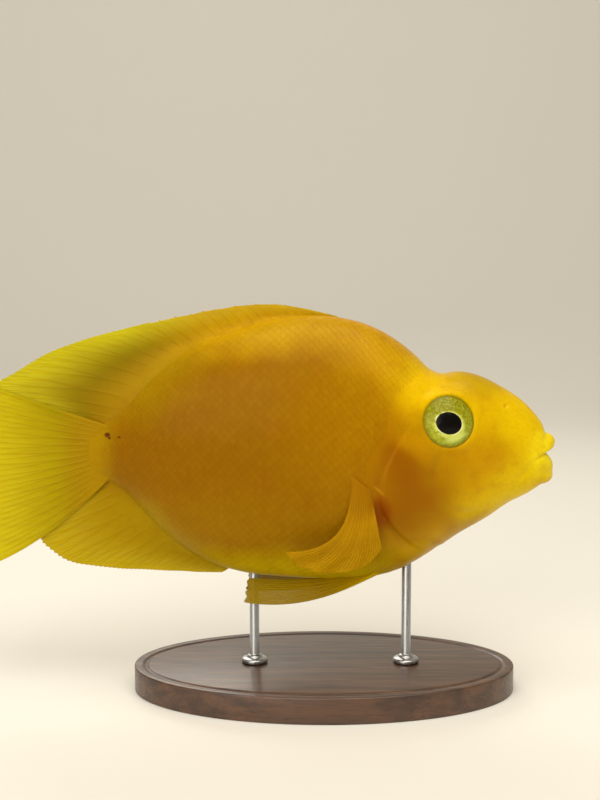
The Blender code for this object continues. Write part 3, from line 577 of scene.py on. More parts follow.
# Scales are thin horny plates in staggered rows that overlap like roof tiles, rooted in the skin at
# their front and free at their round rear edge. They shrink towards the tail root and the nape.
SCALE_ROWS = ((-54.0, 1.7), (-30.0, 2.3), (0.0, 2.9), (30.0, 2.9), (48.0, 2.3), (64.0, 1.8))
SCALES_FROM, SCALES_TO = -52.0, 64.0
TALLEST_ROW, COLUMN_STEP = 2.9, 0.47
SCALE_LIFT, SCALE_ROOT_DEPTH, SCALE_SKIRT = 0.075, 0.05, 0.16
# Shares of a row's height: the root's reach forward, the free edge's reach back, and half widths
SCALE_FRONT, SCALE_BACK = 0.35, 0.80
ROOT_HALF, REAR_HALF, REAR_CURVE = 0.50, 0.57, 1.4
SCALE_EDGE = ((70.0, 108.0), (62.5, 102.0), (54.5, 98.8), (48.5, 95.0), (45.0, 90.0)) + GILL_EDGE[3:]
PATCH_LONG, PATCH_WIDE, UNWRAP_HEIGHT = 0.0013, 0.0026, 75.0
SCALES_SEED = 7


def model_scale():
    """One scale, its size a share of its row's height: reach back, across, and height in mm."""
    grid = {"x_subdivisions": 6, "y_subdivisions": 2, "size": 2.0}
    plate = start_piece("scale", bpy.ops.mesh.primitive_grid_add, **grid)
    flat = read_points(plate) * MM
    across, out = flat[:, 0], (flat[:, 1] + 1.0) / 2.0
    reach = -SCALE_FRONT + (SCALE_FRONT + SCALE_BACK * np.cos(across * REAR_CURVE)) * out
    aside = ROOT_HALF * across * (1.0 - out) + REAR_HALF * np.sin(across * REAR_CURVE) * out
    rise = (SCALE_LIFT + SCALE_ROOT_DEPTH) * (reach + SCALE_FRONT) / (SCALE_FRONT + SCALE_BACK)
    write_points(plate, np.stack([reach, aside, rise - SCALE_ROOT_DEPTH], axis=-1) / MM)
    bpy.ops.object.mode_set(mode="EDIT")
    bpy.ops.mesh.select_all(action="SELECT")
    bpy.ops.mesh.extrude_region_move(TRANSFORM_OT_translate={"value": (0.0, 0.0, -SCALE_SKIRT)})
    bpy.ops.mesh.dissolve_faces()
    bpy.ops.object.mode_set(mode="OBJECT")
    face_outwards(plate)
    spots = read_points(plate) * MM
    faces = [tuple(face.vertices) for face in plate.data.polygons]
    bpy.data.objects.remove(plate, do_unlink=True)
    return spots, faces


def add_attribute(mesh, name, values):
    """Gives a mesh a number at each of its points, for its material to read."""
    attribute = mesh.attributes.new(name, "FLOAT", "POINT")
    attribute.data.foreach_set("value", np.array(values, np.float32))


def flank_lengths(x):
    """The flank's section at x from back to belly, with its length measured from its widest place."""
    turns = np.linspace(0.015, math.pi - 0.015, 120)
    spots = body_spot(np.full(len(turns), x), turns)
    lengths = np.concatenate([[0.0], np.cumsum(np.linalg.norm(np.diff(spots, axis=0), axis=1))])
    return spots, lengths - np.interp(math.pi / 2, turns, lengths)


def scale_strength(spot, row, from_edge):
    """1 on the flank, fading to 0 where the scales sink in at the head, the tail and the fins."""
    distance, side, _ = line_distance(np.array([spot]), SCALE_EDGE)
    head = ease(row * 0.3, row * 2.4, -distance[0] * side[0])
    return float(head * ease(-53.0, -45.0, spot[0]) * ease(0.0, row * 2.0, from_edge))


def scale_roots():
    """Roots of the left side's scales, each with its row's height and strength."""
    roots = []
    x, column = SCALES_FROM, 0
    while x < SCALES_TO:
        row = float(curve_through(SCALE_ROWS, x))
        spots, lengths = flank_lengths(x)
        for k in range(math.ceil(lengths[0] / row), int(lengths[-1] / row) + 1):
            height = (k + 0.5 * (column % 2)) * row
            if lengths[0] + 0.3 < height < lengths[-1] - 0.3:
                spot = [float(np.interp(height, lengths, spots[:, axis])) for axis in range(3)]
                strength = scale_strength(spot, row, min(height - lengths[0], lengths[-1] - height))
                if strength > 0.0:
                    roots.append((spot, row, strength))
        x += row * COLUMN_STEP
        column += 1
    return roots


skin_shape = bmesh.new()
skin_shape.from_mesh(skin.data)
skin_tree = BVHTree.FromBMesh(skin_shape)
skin_shape.free()
chance = np.random.default_rng(SCALES_SEED)
scale_spots, scale_faces = model_scale()
places, patches, tints, rims = [], [], [], []
scale_rims = ease(0.35, 0.8, np.hypot(scale_spots[:, 0], scale_spots[:, 1] * 1.4))
for spot, row, strength in scale_roots():
    _, normal, _, _ = skin_tree.find_nearest(Vector(spot) * MM)
    back = Vector((-1.0, 0.0, 0.0))
    back = (back - normal * back.dot(normal)).normalized()
    aside = normal.cross(back)
    turned = chance.uniform(-0.05, 0.05)
    back, aside = back + aside * turned, aside - back * turned
    wide, lift, tint = chance.uniform(0.96, 1.04), chance.uniform(0.8, 1.2), chance.uniform(0.0, 1.0)
    for reach, across, height in scale_spots:
        flat = Vector(spot) + back * reach * row + aside * across * row * wide
        on_skin, facing, _, _ = skin_tree.find_nearest(flat * MM)
        sunk = (strength - 1.0) * (SCALE_LIFT + 0.02)
        places.append(on_skin / MM + facing * (height * lift * row / TALLEST_ROW + sunk))
        patches.append((
            (spot[0] - BODY_REAR) / (BODY_FRONT - BODY_REAR) + PATCH_LONG * reach,
            0.5 + math.atan2(spot[1], spot[2] - UNWRAP_HEIGHT) / math.tau * 0.98 + PATCH_WIDE * across,
        ))
    tints += [tint] * len(scale_spots)
    rims += list(scale_rims * strength)
places, patches = np.array(places), np.array(patches)

SCALE_TINT, SCALE_RIM = (255, 190, 30), (96, 48, 0)
horn, tree, shader = new_material("scale_horn", FLESH)
markings_and_light = add_group(tree, markings_and_painted_light, {"Mottle": 1.0})["Colour"]
tint = add_node(tree, "Attribute", attribute_name="tint")["Fac"]
colour = lay_over(tree, markings_and_light, SCALE_TINT, tint, 0.0, 1.0, 0.0, 0.03)
rim = add_node(tree, "Attribute", attribute_name="rim")["Fac"]
colour = lay_over(tree, colour, SCALE_RIM, rim, 0.55, 1.0, 0.0, 0.12)
finish_flesh(tree, shader, colour, 0.5, 0.03, 0.6)
for name, side in (("scales_left", 1.0), ("scales_right", -1.0)):
    count, corners = len(scale_spots), [np.array(face[:: int(side)]) for face in scale_faces]
    faces = [tuple(face + k) for k in range(0, len(places), count) for face in corners]
    mesh = bpy.data.meshes.new(name)
    mesh.from_pydata((places * (1.0, side, 1.0) * MM).tolist(), [], faces)
    add_attribute(mesh, "tint", tints)
    add_attribute(mesh, "rim", rims)
    corner_points = np.empty(len(mesh.loops), np.int32)
    mesh.loops.foreach_get("vertex_index", corner_points)
    mirrored = patches * (1.0, side) + (0.0, 0.0 if side > 0 else 1.0)
    patch_map = mesh.uv_layers.new(name="OFBake")
    patch_map.data.foreach_set("uv", mirrored[corner_points].astype(np.float32).ravel())
    scales = bpy.data.objects.new(name, mesh)
    bpy.context.scene.collection.objects.link(scales)
    select_only(scales)
    bpy.ops.object.shade_smooth_by_angle(angle=math.radians(35))
    scales.data.materials.append(horn)
    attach(scales, "root")


# Each eye is a shallow wet dome: a black pupil ringed with pale gold, in a mottled yellow-green
# iris, with a pale glint low on it that is a painted highlight. The pattern lies under a clear
# smooth coat, as under a living fish's cornea.
PUPIL = ((-0.6, -0.75), (3.95, 3.3), 14.0)
PALE_RING = ((-0.5, -1.2), (4.9, 4.1), 14.0)
# Painted highlight: a pale glint low on the iris, a little ahead of the pupil.
PAINTED_GLINT = ((1.5, -5.0), (3.6, 1.5), -20.0)
WHOLE_EYE = ((0.0, 0.0), (EYE_OPENING, EYE_OPENING), 0.0)
IRIS_UPPER, IRIS_LOWER = (132, 126, 2), (166, 170, 40)
IRIS_MOTTLE, IRIS_FLECK = (108, 112, 6), (198, 200, 70)
PAINTED_GLINT_COLOUR, EYE_EDGE = (214, 228, 120), (116, 106, 3)
RING_COLOUR, PUPIL_EDGE, PUPIL_BLACK = (204, 210, 98), (236, 238, 176), (9, 7, 5)
CORNEA_RISE, CORNEA_RADIUS = 0.5, 4.8


def make_eye_pattern():
    """Iris, pupil and a painted glint as one node group, laid out round the eye's own axis in
    millimetres.
    """
    wanted, results = {"Place": (0.0, 0.0, 0.0)}, {"Colour": "Color", "Height": "Float"}
    group, given, result = new_group("eye pattern", wanted, results)
    pupil, pale, painted_glint, whole = (
        oval(group, given["Place"], *part, unit=1.0) for part in (PUPIL, PALE_RING, PAINTED_GLINT, WHOLE_EYE)
    )
    height = add_node(group, "SeparateXYZ", given["Place"])[2]
    mottle, fleck = noise(group, 1.3, 5.0), noise(group, 0.7, 4.0)
    colour = lay_over(group, IRIS_LOWER, IRIS_UPPER, height, -6.0, 5.0)
    colour = lay_over(group, colour, IRIS_MOTTLE, mottle, 0.42, 0.62, 0.0, 0.5)
    colour = lay_over(group, colour, IRIS_FLECK, fleck, 0.46, 0.70, 0.0, 0.4)
    # Painted highlight: the pale glint laid low on the iris.
    colour = lay_over(group, colour, PAINTED_GLINT_COLOUR, painted_glint, 0.3, 1.3, 0.75, 0.0)
    colour = lay_over(group, colour, EYE_EDGE, whole, 0.84, 1.03, 0.0, 0.85)
    for distance, span, size, detail, breaks, patch in (
        (pale, (0.88, 1.12), 1.6, 4.0, (0.35, 0.6, 0.15, 0.95), RING_COLOUR),
        (pupil, (1.04, 1.14), 1.9, 2.0, (0.40, 0.58, 0.05, 0.95), PUPIL_EDGE),
    ):
        broken = map_range(group, noise(group, size, detail), *breaks)
        ring = product(group, map_range(group, distance, *span, 1.0, 0.0), broken)
        colour = mix_colour(group, ring, colour, patch)
    fill(group, result["Colour"], lay_over(group, colour, PUPIL_BLACK, pupil, 1.045, 0.985))
    raised = map_range(group, pupil, 0.95, 1.25, -0.6, 0.6)
    fill(group, result["Height"], add_node(group, "Math", mottle, raised, operation="ADD")[0])
    return group


eye_pattern = make_eye_pattern()
WET_EYE = {
    "Roughness": 0.22, "Specular IOR Level": 0.08,
    "Coat Weight": 0.4, "Coat Roughness": 0.07, "Coat IOR": 1.2,
}
for name, side in (("eye_left", 1.0), ("eye_right", -1.0)):
    eye = add_ball(name, (0, 0, 0), (EYE_RADIUS, EYE_RADIUS, EYE_DEPTH), 72, 48)
    local = read_points(eye)[:, (0, 2, 1)] * (1.0, 1.0, -1.0)
    radius = np.hypot(local[:, 0], local[:, 2])
    cornea = CORNEA_RISE * np.exp(-(radius / CORNEA_RADIUS) ** 2)
    local[:, 1] += np.where(local[:, 1] > 0, cornea, 0.0)
    write_points(eye, from_eye(local, side))
    face_outwards(eye)
    bpy.ops.object.shade_smooth()

    wet_eye, tree, shader = new_material(name, WET_EYE)
    centre, turn = eye_place(side)
    where = add_node(tree, "TexCoord")["Object"]
    place = lay_out(tree, where, tuple(centre * MM), turn, (MM, MM, MM))
    pattern = add_group(tree, eye_pattern, {"Place": place})
    tree.links.new(pattern["Colour"], shader.inputs["Base Color"])
    add_bump(tree, shader, pattern["Height"], 0.18, 0.6)
    eye.data.materials.append(wet_eye)
    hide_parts("eye_l" if side > 0 else "eye_r")
    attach(eye, "root")


# The dorsal fin runs along the back: stiff spines in front, soft branched rays behind, in a thin
# skin that is raised over each ray. It is folded low, and its rear lobe trails over the tail fin.
ROOT_SINK = 2.2
DORSAL_SPINES, DORSAL_SOFT_RAYS = 16, 10
DORSAL_EDGE = (
    # share of the fin's base, and the place of its edge there
    (0.00, 23.5, 117.9), (0.09, 14.6, 120.0), (0.22, 4.0, 121.6), (0.38, -9.0, 120.8),
    (0.52, -22.0, 118.6), (0.62, -35.0, 115.7), (0.70, -50.0, 111.9), (0.77, -64.0, 107.3),
    (0.84, -76.0, 100.6), (0.88, -83.4, 96.0), (0.92, -77.0, 92.6), (0.96, -69.0, 88.8),
    (1.00, -59.0, 84.4),
)
DORSAL = {
    "outline": BACK, "base": (27.0, -48.0), "sunk": ROOT_SINK, "edge": DORSAL_EDGE,
    "bow": 0.24, "bow_fade": 4, "drift": (0.55, 0.9), "waves": 40.0,
}
DRIFT_ASIDE, WAVE_HEIGHT = 0.8, 0.2
FIN_WEB, RAY_HEIGHT = 0.32, 0.13
TIPS_SEED = 1


def ray_pattern(across, out, rays, pitch, branches):
    """How near each spot is to a ray, 0 to 1; soft rays split in two, and in two again."""
    local = (across * rays) % 1.0 - 0.5
    first = 0.25 * ease(0.25, 0.75, out) * branches
    second = 0.125 * ease(0.6, 1.0, out) * branches
    splits = [np.abs(local - one * first - two * second) for one in (-1, 1) for two in (-1, 1)]
    width = 0.26 - 0.11 * out
    spacing = pitch[0] + (pitch[1] - pitch[0]) * out
    joints = 1.0 - 0.16 * branches * (0.5 + 0.5 * np.cos(out * 210.0)) * ease(0.15, 0.3, out)
    return np.exp(-(np.min(splits, axis=0) * spacing / width) ** 2) * joints


def make_fin(name, surface, rays, pitch, grid, root, flesh, branches=1.0, notch=0.02):
    """A fin from a flat grid: laid on its surface, thickened, with its rays raised on both faces."""
    grid = {"x_subdivisions": grid[0], "y_subdivisions": grid[1], "size": 2.0}
    fin = start_piece(name, bpy.ops.mesh.primitive_grid_add, **grid)
    flat = read_points(fin) * MM
    across, out = (flat[:, 0] + 1.0) / 2.0, (flat[:, 1] + 1.0) / 2.0
    ray = ray_pattern(across, out, rays, pitch, branches) * ease(0.03, 0.3, out)
    tips = np.random.default_rng(TIPS_SEED).uniform(-1.0, 1.0, rays + 1)
    uneven = np.interp(across * rays - 0.5, np.arange(rays + 1), tips)
    at_edge = ray_pattern(across, np.ones(len(across)), rays, pitch, branches)
    reach = 1.0 - notch * (1.0 - 0.8 * at_edge + 0.6 * uneven) * out**3
    write_points(fin, surface(across, out * np.minimum(reach, 1.0)))
    add_attribute(fin.data, "ray", ray)
    add_attribute(fin.data, "out", out)
    at_root = root[0] + (root[1] - root[0]) * across - FIN_WEB
    web = FIN_WEB * (1.0 - 0.35 * out) + np.maximum(0.0, 1.0 - out / flesh) ** 3 * at_root
    thickness = web + 2.0 * RAY_HEIGHT * ray * (1.0 - 0.6 * out)
    most = float(thickness.max())
    group = fin.vertex_groups.new(name="thickness")
    for i, value in enumerate(thickness / most):
        group.add((i,), float(value), "REPLACE")
    add_modifier(fin, "wall", "SOLIDIFY", thickness=most * MM, offset=0.0, vertex_group="thickness")
    finish_modifiers(fin)
    fin.vertex_groups.clear()
    face_outwards(fin)
    bpy.ops.object.shade_smooth()
    return fin


def make_fin_pattern():
    """Fin skin as one node group: fleshy at the root, thin and clearer between the rays outside."""
    wanted = dict.fromkeys(("Near Root", "Middle", "Edge", "Markings And Painted Light"), (0.0, 0.0, 0.0, 1.0))
    wanted.update({"Clearness": 0.0, "Fleshiness": 0.0})
    group, given, result = new_group("fin skin", wanted, {"Colour": "Color", "Alpha": "Float"})
    near_root, markings_and_light = given["Near Root"], given["Markings And Painted Light"]
    ray = add_node(group, "Attribute", attribute_name="ray")["Fac"]
    out = add_node(group, "Attribute", attribute_name="out")["Fac"]
    along = add_node(group, "SeparateXYZ", add_node(group, "TexCoord")["Object"])[0]
    streak = noise(group, 1.4, 3.0, (6.0, 1.0, 1.0))
    colour = lay_over(group, near_root, given["Middle"], out, 0.1, 0.4)
    colour = lay_over(group, colour, given["Edge"], out, 0.35, 0.95)
    colour = lay_over(group, colour, markings_and_light, along, -44.0 * MM, -14.0 * MM, 0.0, given["Fleshiness"])
    colour = lay_over(group, colour, markings_and_light, out, 0.03, 0.45, 1.0, 0.0)
    colour = lay_over(group, colour, near_root, streak, 0.35, 0.75, 0.0, 0.22)
    colour = lay_over(group, colour, near_root, ray, 0.2, 1.0, 0.0, 0.35)
    fill(group, result["Colour"], colour)
    between_rays = map_range(group, ray, 0.0, 0.8, 1.0, 0.35)
    thin = product(group, map_range(group, out, 0.15, 0.9, 0.0, given["Clearness"]), between_rays)
    fill(group, result["Alpha"], add_node(group, "Math", 1.0, thin, operation="SUBTRACT")[0])
    return group


fin_pattern = make_fin_pattern()
FIN_FLESH = {
    "Roughness": 0.4, "Specular IOR Level": 0.25, "Specular Tint": light((255, 210, 80)),
    "Subsurface Weight": 0.35, "Subsurface Radius": (1.0, 0.8, 0.1), "Subsurface Scale": 2.0 * MM,
    "Coat Weight": 0.03, "Coat Roughness": 0.25,
}


def make_fin_material(name, near_root, middle, edge, clearness, fleshiness=0.0):
    """One fin's finish, in its own colours from its root to its edge."""
    material, tree, shader = new_material(name, FIN_FLESH)
    pattern = add_group(tree, fin_pattern, {
        "Near Root": light(near_root), "Middle": light(middle), "Edge": light(edge),
        "Markings And Painted Light": add_group(tree, markings_and_painted_light, {"Mottle": 1.0})["Colour"],
        "Clearness": clearness, "Fleshiness": fleshiness,
    })
    tree.links.new(pattern["Colour"], shader.inputs["Base Color"])
    tree.links.new(pattern["Alpha"], shader.inputs["Alpha"])
    pores = add_group(tree, flesh_grain, {"Pore Size": 0.5})["Pores"]
    add_bump(tree, shader, pores, 0.03, 0.6)
    return material


def edge_spot(edge, share):
    """Where a fin's edge is, in side view, at a share of the fin's base."""
    places, tip_x, tip_z = zip(*edge)
    return [curve_through(tuple(zip(places, values)), share) for values in (tip_x, tip_z)]


def leaning_sheet(fin, share, out):
    """A fin's middle, leaning back from the outline it grows on; its rear drifts a little left."""
    x = fin["base"][0] + (fin["base"][1] - fin["base"][0]) * share
    z = curve_through(fin["outline"], x) - fin["sunk"]
    tip_x, tip_z = edge_spot(fin["edge"], share)
    bow = np.hypot(tip_x - x, tip_z - z) * fin["bow"] * (1.0 - share ** fin["bow_fade"])
    sway = DRIFT_ASIDE * ease(*fin["drift"], share) * out
    sway += WAVE_HEIGHT * np.sin(share * fin["waves"]) * out**2
    z = z + (tip_z - z) * out + bow * out * (1.0 - out)
    return np.stack([x + (tip_x - x) * out, sway, z], axis=-1)


upper_fin = make_fin_material("upper_fin", (132, 106, 2), (118, 102, 2), (190, 180, 8), 0.16, 0.75)
split = DORSAL_SPINES / (DORSAL_SPINES + DORSAL_SOFT_RAYS)
for name, first, last, rays, grid, root, branches, notch in (
    ("dorsal_spines", 0.0, split, DORSAL_SPINES, (288, 24), (6.6, 6.6), 0.0, 0.05),
    ("dorsal_lobe", split, 1.0, DORSAL_SOFT_RAYS, (240, 90), (6.6, 2.2), 1.0, 0.015),
):
    def surface(across, out):
        return leaning_sheet(DORSAL, first + (last - first) * across, out)

    fin = make_fin(name, surface, rays, (2.8, 3.4), grid, root, 0.5, branches, notch)
    fin.data.materials.append(upper_fin)
    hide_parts("dorsal_fin_spiny" if branches == 0.0 else "dorsal_fin_soft")
    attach(fin, "root")


# The anal fin is a thin skin over sixteen branched rays, like the rear of the dorsal fin. Its fleshy
# root is let into the belly's rear edge, and it trails back below the tail fin.
ANAL_EDGE = (
    (0.00, -12.5, 37.0), (0.15, -20.5, 37.2), (0.32, -31.1, 37.7), (0.48, -44.0, 38.2),
    (0.58, -53.0, 39.1), (0.67, -61.8, 40.8), (0.72, -66.0, 43.8), (0.77, -69.4, 47.2),
    (0.87, -61.5, 54.6), (1.00, -54.0, 63.4),
)
ANAL = {
    "outline": BELLY, "base": (-8.0, -48.5), "sunk": -ROOT_SINK, "edge": ANAL_EDGE,
    "bow": -0.28, "bow_fade": 1, "drift": (0.4, 0.85), "waves": 34.0,
}


def anal_surface(across, out):
    """The anal fin's middle."""
    return leaning_sheet(ANAL, across, out)


lower_fin = make_fin_material("lower_fin", (150, 118, 2), (148, 122, 2), (172, 150, 3), 0.12)
fin = make_fin("anal_fin_skin", anal_surface, 16, (2.2, 2.7), (288, 60), (6.4, 2.2), 0.5)
fin.data.materials.append(lower_fin)
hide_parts("anal_fin")
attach(fin, "root")


# The tail fin is a fan of sixteen rays in thin skin. Its fleshy base is let into the end of the
# narrow tail root, and its rays split twice on the way to the edge.
TAIL_ROOT = (-46.5, 68.0, 83.4)
TAIL_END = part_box("caudal_fin")[0][0] / MM
TAIL_BOW = -3.6
TAIL_EDGE = (
    (0.00, 5.5, 38.8), (0.12, 2.4, 44.5), (0.35, 0.4, 58.0), (0.60, 0.1, 74.0),
    (0.85, 0.7, 90.5), (1.00, 2.6, 98.0),
)


def tail_fin_surface(across, out):
    """The tail fin's middle, with a slight wave."""
    root_z = TAIL_ROOT[1] + (TAIL_ROOT[2] - TAIL_ROOT[1]) * across
    tip_x, tip_z = edge_spot(TAIL_EDGE, across)
    tip_x = TAIL_END + tip_x
    bow = TAIL_BOW * (1.0 - across) ** 2 * 4.0 * out * (1.0 - out)
    sway = 0.25 * np.sin(across * 9.0 + out * 3.0) * out**1.5 - DRIFT_ASIDE * out
    x = TAIL_ROOT[0] + (tip_x - TAIL_ROOT[0]) * out
    return np.stack([x, sway, root_z + (tip_z - root_z) * out + bow], axis=-1)


tail_skin = make_fin_material("tail_fin", (144, 112, 2), (152, 138, 2), (198, 182, 4), 0.12)
fin = make_fin("tail_fin_skin", tail_fin_surface, 16, (0.96, 3.7), (352, 80), (4.8, 4.8), 0.5,
               notch=0.012)
fin.data.materials.append(tail_skin)
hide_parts("caudal_fin")
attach(fin, "root")


# The paired fins are thinner and clearer. Each pectoral fin is a paddle of rays on a fleshy root let
# into the flank behind the gill cover, and sweeps down and back. The pelvic fins are rooted in the
# belly and lie folded back under it.
PECTORAL_ROOT = ((27.4, 71.4), (33.8, 65.0))
PECTORAL_EDGE = (
    (0.00, 7.6, 48.4), (0.18, 10.6, 44.6), (0.40, 18.0, 42.0), (0.62, 25.8, 42.2),
    (0.84, 33.2, 45.0), (1.00, 36.8, 49.4),
)
PECTORAL_MIDDLE = (30.0, 64.0)
PECTORAL_FLARE, PECTORAL_BOW = 2.8, 9.8
PELVIC_ROOT = ((38.6, 6.6), (31.8, 3.0))
PELVIC_TIPS = ((-5.3, 8.2, 29.6), (-3.8, 4.8, 36.4))


def flank_y(x, z):
    """Half the body's width at a spot seen from the side."""
    hit = skin_tree.ray_cast(Vector((x, 60.0, z)) * MM, Vector((0.0, -1.0, 0.0)))
    return hit[0].y / MM


def belly_z(x, y):
    """Height of the belly at a spot seen from below."""
    hit = skin_tree.ray_cast(Vector((x, y, 0.0)) * MM, Vector((0.0, 0.0, 1.0)))
    return hit[0].z / MM


def pectoral_surface(across, out):
    """The left pectoral fin's middle, flaring away from the flank."""
    (x0, z0), (x1, z1) = PECTORAL_ROOT
    y0, y1 = flank_y(x0, z0) - 0.6, flank_y(x1, z1) - 0.6
    root_x, root_z = x0 + (x1 - x0) * across, z0 + (z1 - z0) * across
    root_y = y0 + (y1 - y0) * across - 1.6 * (2.0 * across - 1.0) ** 4
    tip_x, tip_z = edge_spot(PECTORAL_EDGE, across)
    tip_y = flank_y(*PECTORAL_MIDDLE) + PECTORAL_FLARE
    bow = PECTORAL_BOW * (1.0 - across) * 4.0 * out * (1.0 - out)
    spread = 1.0 - (1.0 - out) ** 2.6
    ripple = 0.35 * np.sin(across * 22.0) * out**2
    x = root_x + (tip_x - root_x) * out + 0.62 * bow
    z = root_z + (tip_z - root_z) * out - 0.6 * bow
    return np.stack([x, root_y + (tip_y - root_y) * spread + ripple, z], axis=-1)


def pelvic_surface(across, out):
    """The left pelvic fin's middle, folded back under the belly."""
    (x0, y0), (x1, y1) = PELVIC_ROOT
    start = np.array((x0, y0, belly_z(x0, y0) + 1.0))
    end = np.array((x1, y1, belly_z(x1, y1) + 1.0))
    share = across[:, None]
    root = start + (end - start) * share
    tip = np.array(PELVIC_TIPS[0]) + (np.array(PELVIC_TIPS[1]) - np.array(PELVIC_TIPS[0])) * share
    hump = 4.0 * out * (1.0 - out)
    spots = root + (tip - root) * out[:, None]
    spots[:, 1] += 1.2 * (1.0 - across) * hump
    spots[:, 2] -= (4.3 - 3.4 * across) * hump
    return spots


def add_right_twin(fin, name):
    """The same fin on the fish's right side, with a mesh of its own."""
    twin = fin.copy()
    twin.data = fin.data.copy()
    twin.name = name
    bpy.context.scene.collection.objects.link(twin)
    write_points(twin, read_points(twin) * (1.0, -1.0, 1.0))
    twin.data.flip_normals()
    return twin


side_fin = make_fin_material("side_fin", (148, 106, 2), (176, 128, 2), (180, 134, 3), 0.6)
belly_fin = make_fin_material("belly_fin", (150, 118, 2), (142, 114, 2), (130, 108, 4), 0.3)
for name, surface, rays, pitch, grid, root, node, finish in (
    ("pectoral", pectoral_surface, 12, (0.8, 3.1), (216, 64), 3.0, "pectoral_fin", side_fin),
    ("pelvic", pelvic_surface, 6, (1.0, 1.6), (96, 70), 2.2, "pelvic_fin", belly_fin),
):
    left = make_fin(name + "_left", surface, rays, pitch, grid, (root, root), 0.36)
    for fin, tail in ((left, "_l"), (add_right_twin(left, name + "_right"), "_r")):
        fin.data.materials.append(finish)
        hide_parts(node + tail)
        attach(fin, "root")


# The display stand's base is an oval plinth of dark stained wood, moulded round its top edge and
# varnished. The fish's weight stands on it through the two rods.
base_low, base_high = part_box("stand_base")
base_middle = (base_low + base_high) / 2.0
base_half = (base_high - base_low) / 2.0
plinth = start_piece("plinth", bpy.ops.mesh.primitive_cylinder_add, vertices=192, radius=1.0, depth=2.0)
write_points(plinth, (read_points(plinth) * MM * np.array(base_half) + np.array(base_middle)) / MM)

# A groove runs round its top, between a flat border and the field
MOULDING = (
    # width of each step inwards, and how far it rises
    (2.6, 0.0), (1.0, -0.6), (0.8, 0.6),
)
bpy.ops.object.mode_set(mode="EDIT")
bpy.ops.mesh.select_all(action="DESELECT")
bpy.ops.mesh.select_mode(type="FACE")
shape = bmesh.from_edit_mesh(plinth.data)
for face in shape.faces:
    if face.normal.z > 0.9:
        face.select_set(True)
bmesh.update_edit_mesh(plinth.data)
for width, rise in MOULDING:
    bpy.ops.mesh.inset(thickness=width * MM, depth=rise * MM)
bpy.ops.object.mode_set(mode="OBJECT")
rounding = {"width": 0.45 * MM, "segments": 3, "angle_limit": math.radians(25)}
add_modifier(plinth, "rounding", "BEVEL", limit_method="ANGLE", **rounding)
finish_modifiers(plinth)
bpy.ops.object.shade_smooth_by_angle(angle=math.radians(35))

WOOD_DARK, WOOD_LIGHT, WOOD_FIBRE = (58, 36, 24), (92, 60, 38), (34, 20, 13)
stained_wood, tree, shader = new_material("stained_wood", {"Coat Weight": 0.35, "Coat Roughness": 0.2})
grain = noise(tree, 3.0, 6.0, (14.0, 1.0, 1.0))
fibre = noise(tree, 0.5, 4.0, (30.0, 1.0, 1.0))
colour = lay_over(tree, WOOD_DARK, WOOD_LIGHT, grain, 0.3, 0.7)
colour = lay_over(tree, colour, WOOD_FIBRE, fibre, 0.5, 0.75, 0.0, 0.6)
tree.links.new(colour, shader.inputs["Base Color"])
tree.links.new(map_range(tree, fibre, 0.3, 0.7, 0.34, 0.5), shader.inputs["Roughness"])
add_bump(tree, shader, fibre, 0.05, 0.8)
plinth.data.materials.append(stained_wood)
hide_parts("stand_base")
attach(plinth, "root")


# Two slim rods of brushed steel stand in turned collars on the plinth. Their tops are let a
# millimetre into the belly.
STEEL_DARK, STEEL_BRIGHT = (150, 152, 156), (206, 208, 210)
brushed_steel, tree, shader = new_material("brushed_steel", {"Metallic": 1.0})
brush = noise(tree, 0.25, 4.0, (1.0, 1.0, 20.0))
tree.links.new(mix_colour(tree, brush, STEEL_DARK, STEEL_BRIGHT), shader.inputs["Base Color"])
tree.links.new(map_range(tree, brush, 0.3, 0.7, 0.24, 0.42), shader.inputs["Roughness"])
add_bump(tree, shader, brush, 0.01, 0.7)

ROD_RADIUS = 1.5
COLLAR = ((4.1, 0.0), (4.1, 0.9), (3.7, 1.3), (2.5, 1.5), (2.2, 2.2), (ROD_RADIUS, 2.5))
for name, node in (("rod_front", "stand_rod_front"), ("rod_rear", "stand_rod_rear")):
    low, high = (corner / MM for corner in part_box(node))
    x = (low.x + high.x) / 2.0
    top = belly_z(x, 0.0) + 1.0
    disc = {"vertices": 40, "radius": COLLAR[0][0] * MM, "fill_type": "NGON"}
    rod = start_piece(name, bpy.ops.mesh.primitive_circle_add, **disc)
    bpy.ops.object.mode_set(mode="EDIT")
    bpy.ops.mesh.select_all(action="SELECT")
    before = COLLAR[0]
    for radius, height in COLLAR[1:] + ((ROD_RADIUS, top - low.z),):
        rise = (height - before[1]) * MM
        bpy.ops.mesh.extrude_region_move(TRANSFORM_OT_translate={"value": (0.0, 0.0, rise)})
        share = radius / before[0]
        bpy.ops.transform.resize(value=(share, share, 1.0))
        before = (radius, height)
    bpy.ops.object.mode_set(mode="OBJECT")
    face_outwards(rod)
    write_points(rod, read_points(rod) + (x, 0.0, low.z))
    add_modifier(rod, "edges", "BEVEL", width=0.15 * MM, segments=2, limit_method="ANGLE")
    finish_modifiers(rod)
    bpy.ops.object.shade_smooth_by_angle(angle=math.radians(40))
    rod.data.materials.append(brushed_steel)
    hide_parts(node)
    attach(rod, "root")


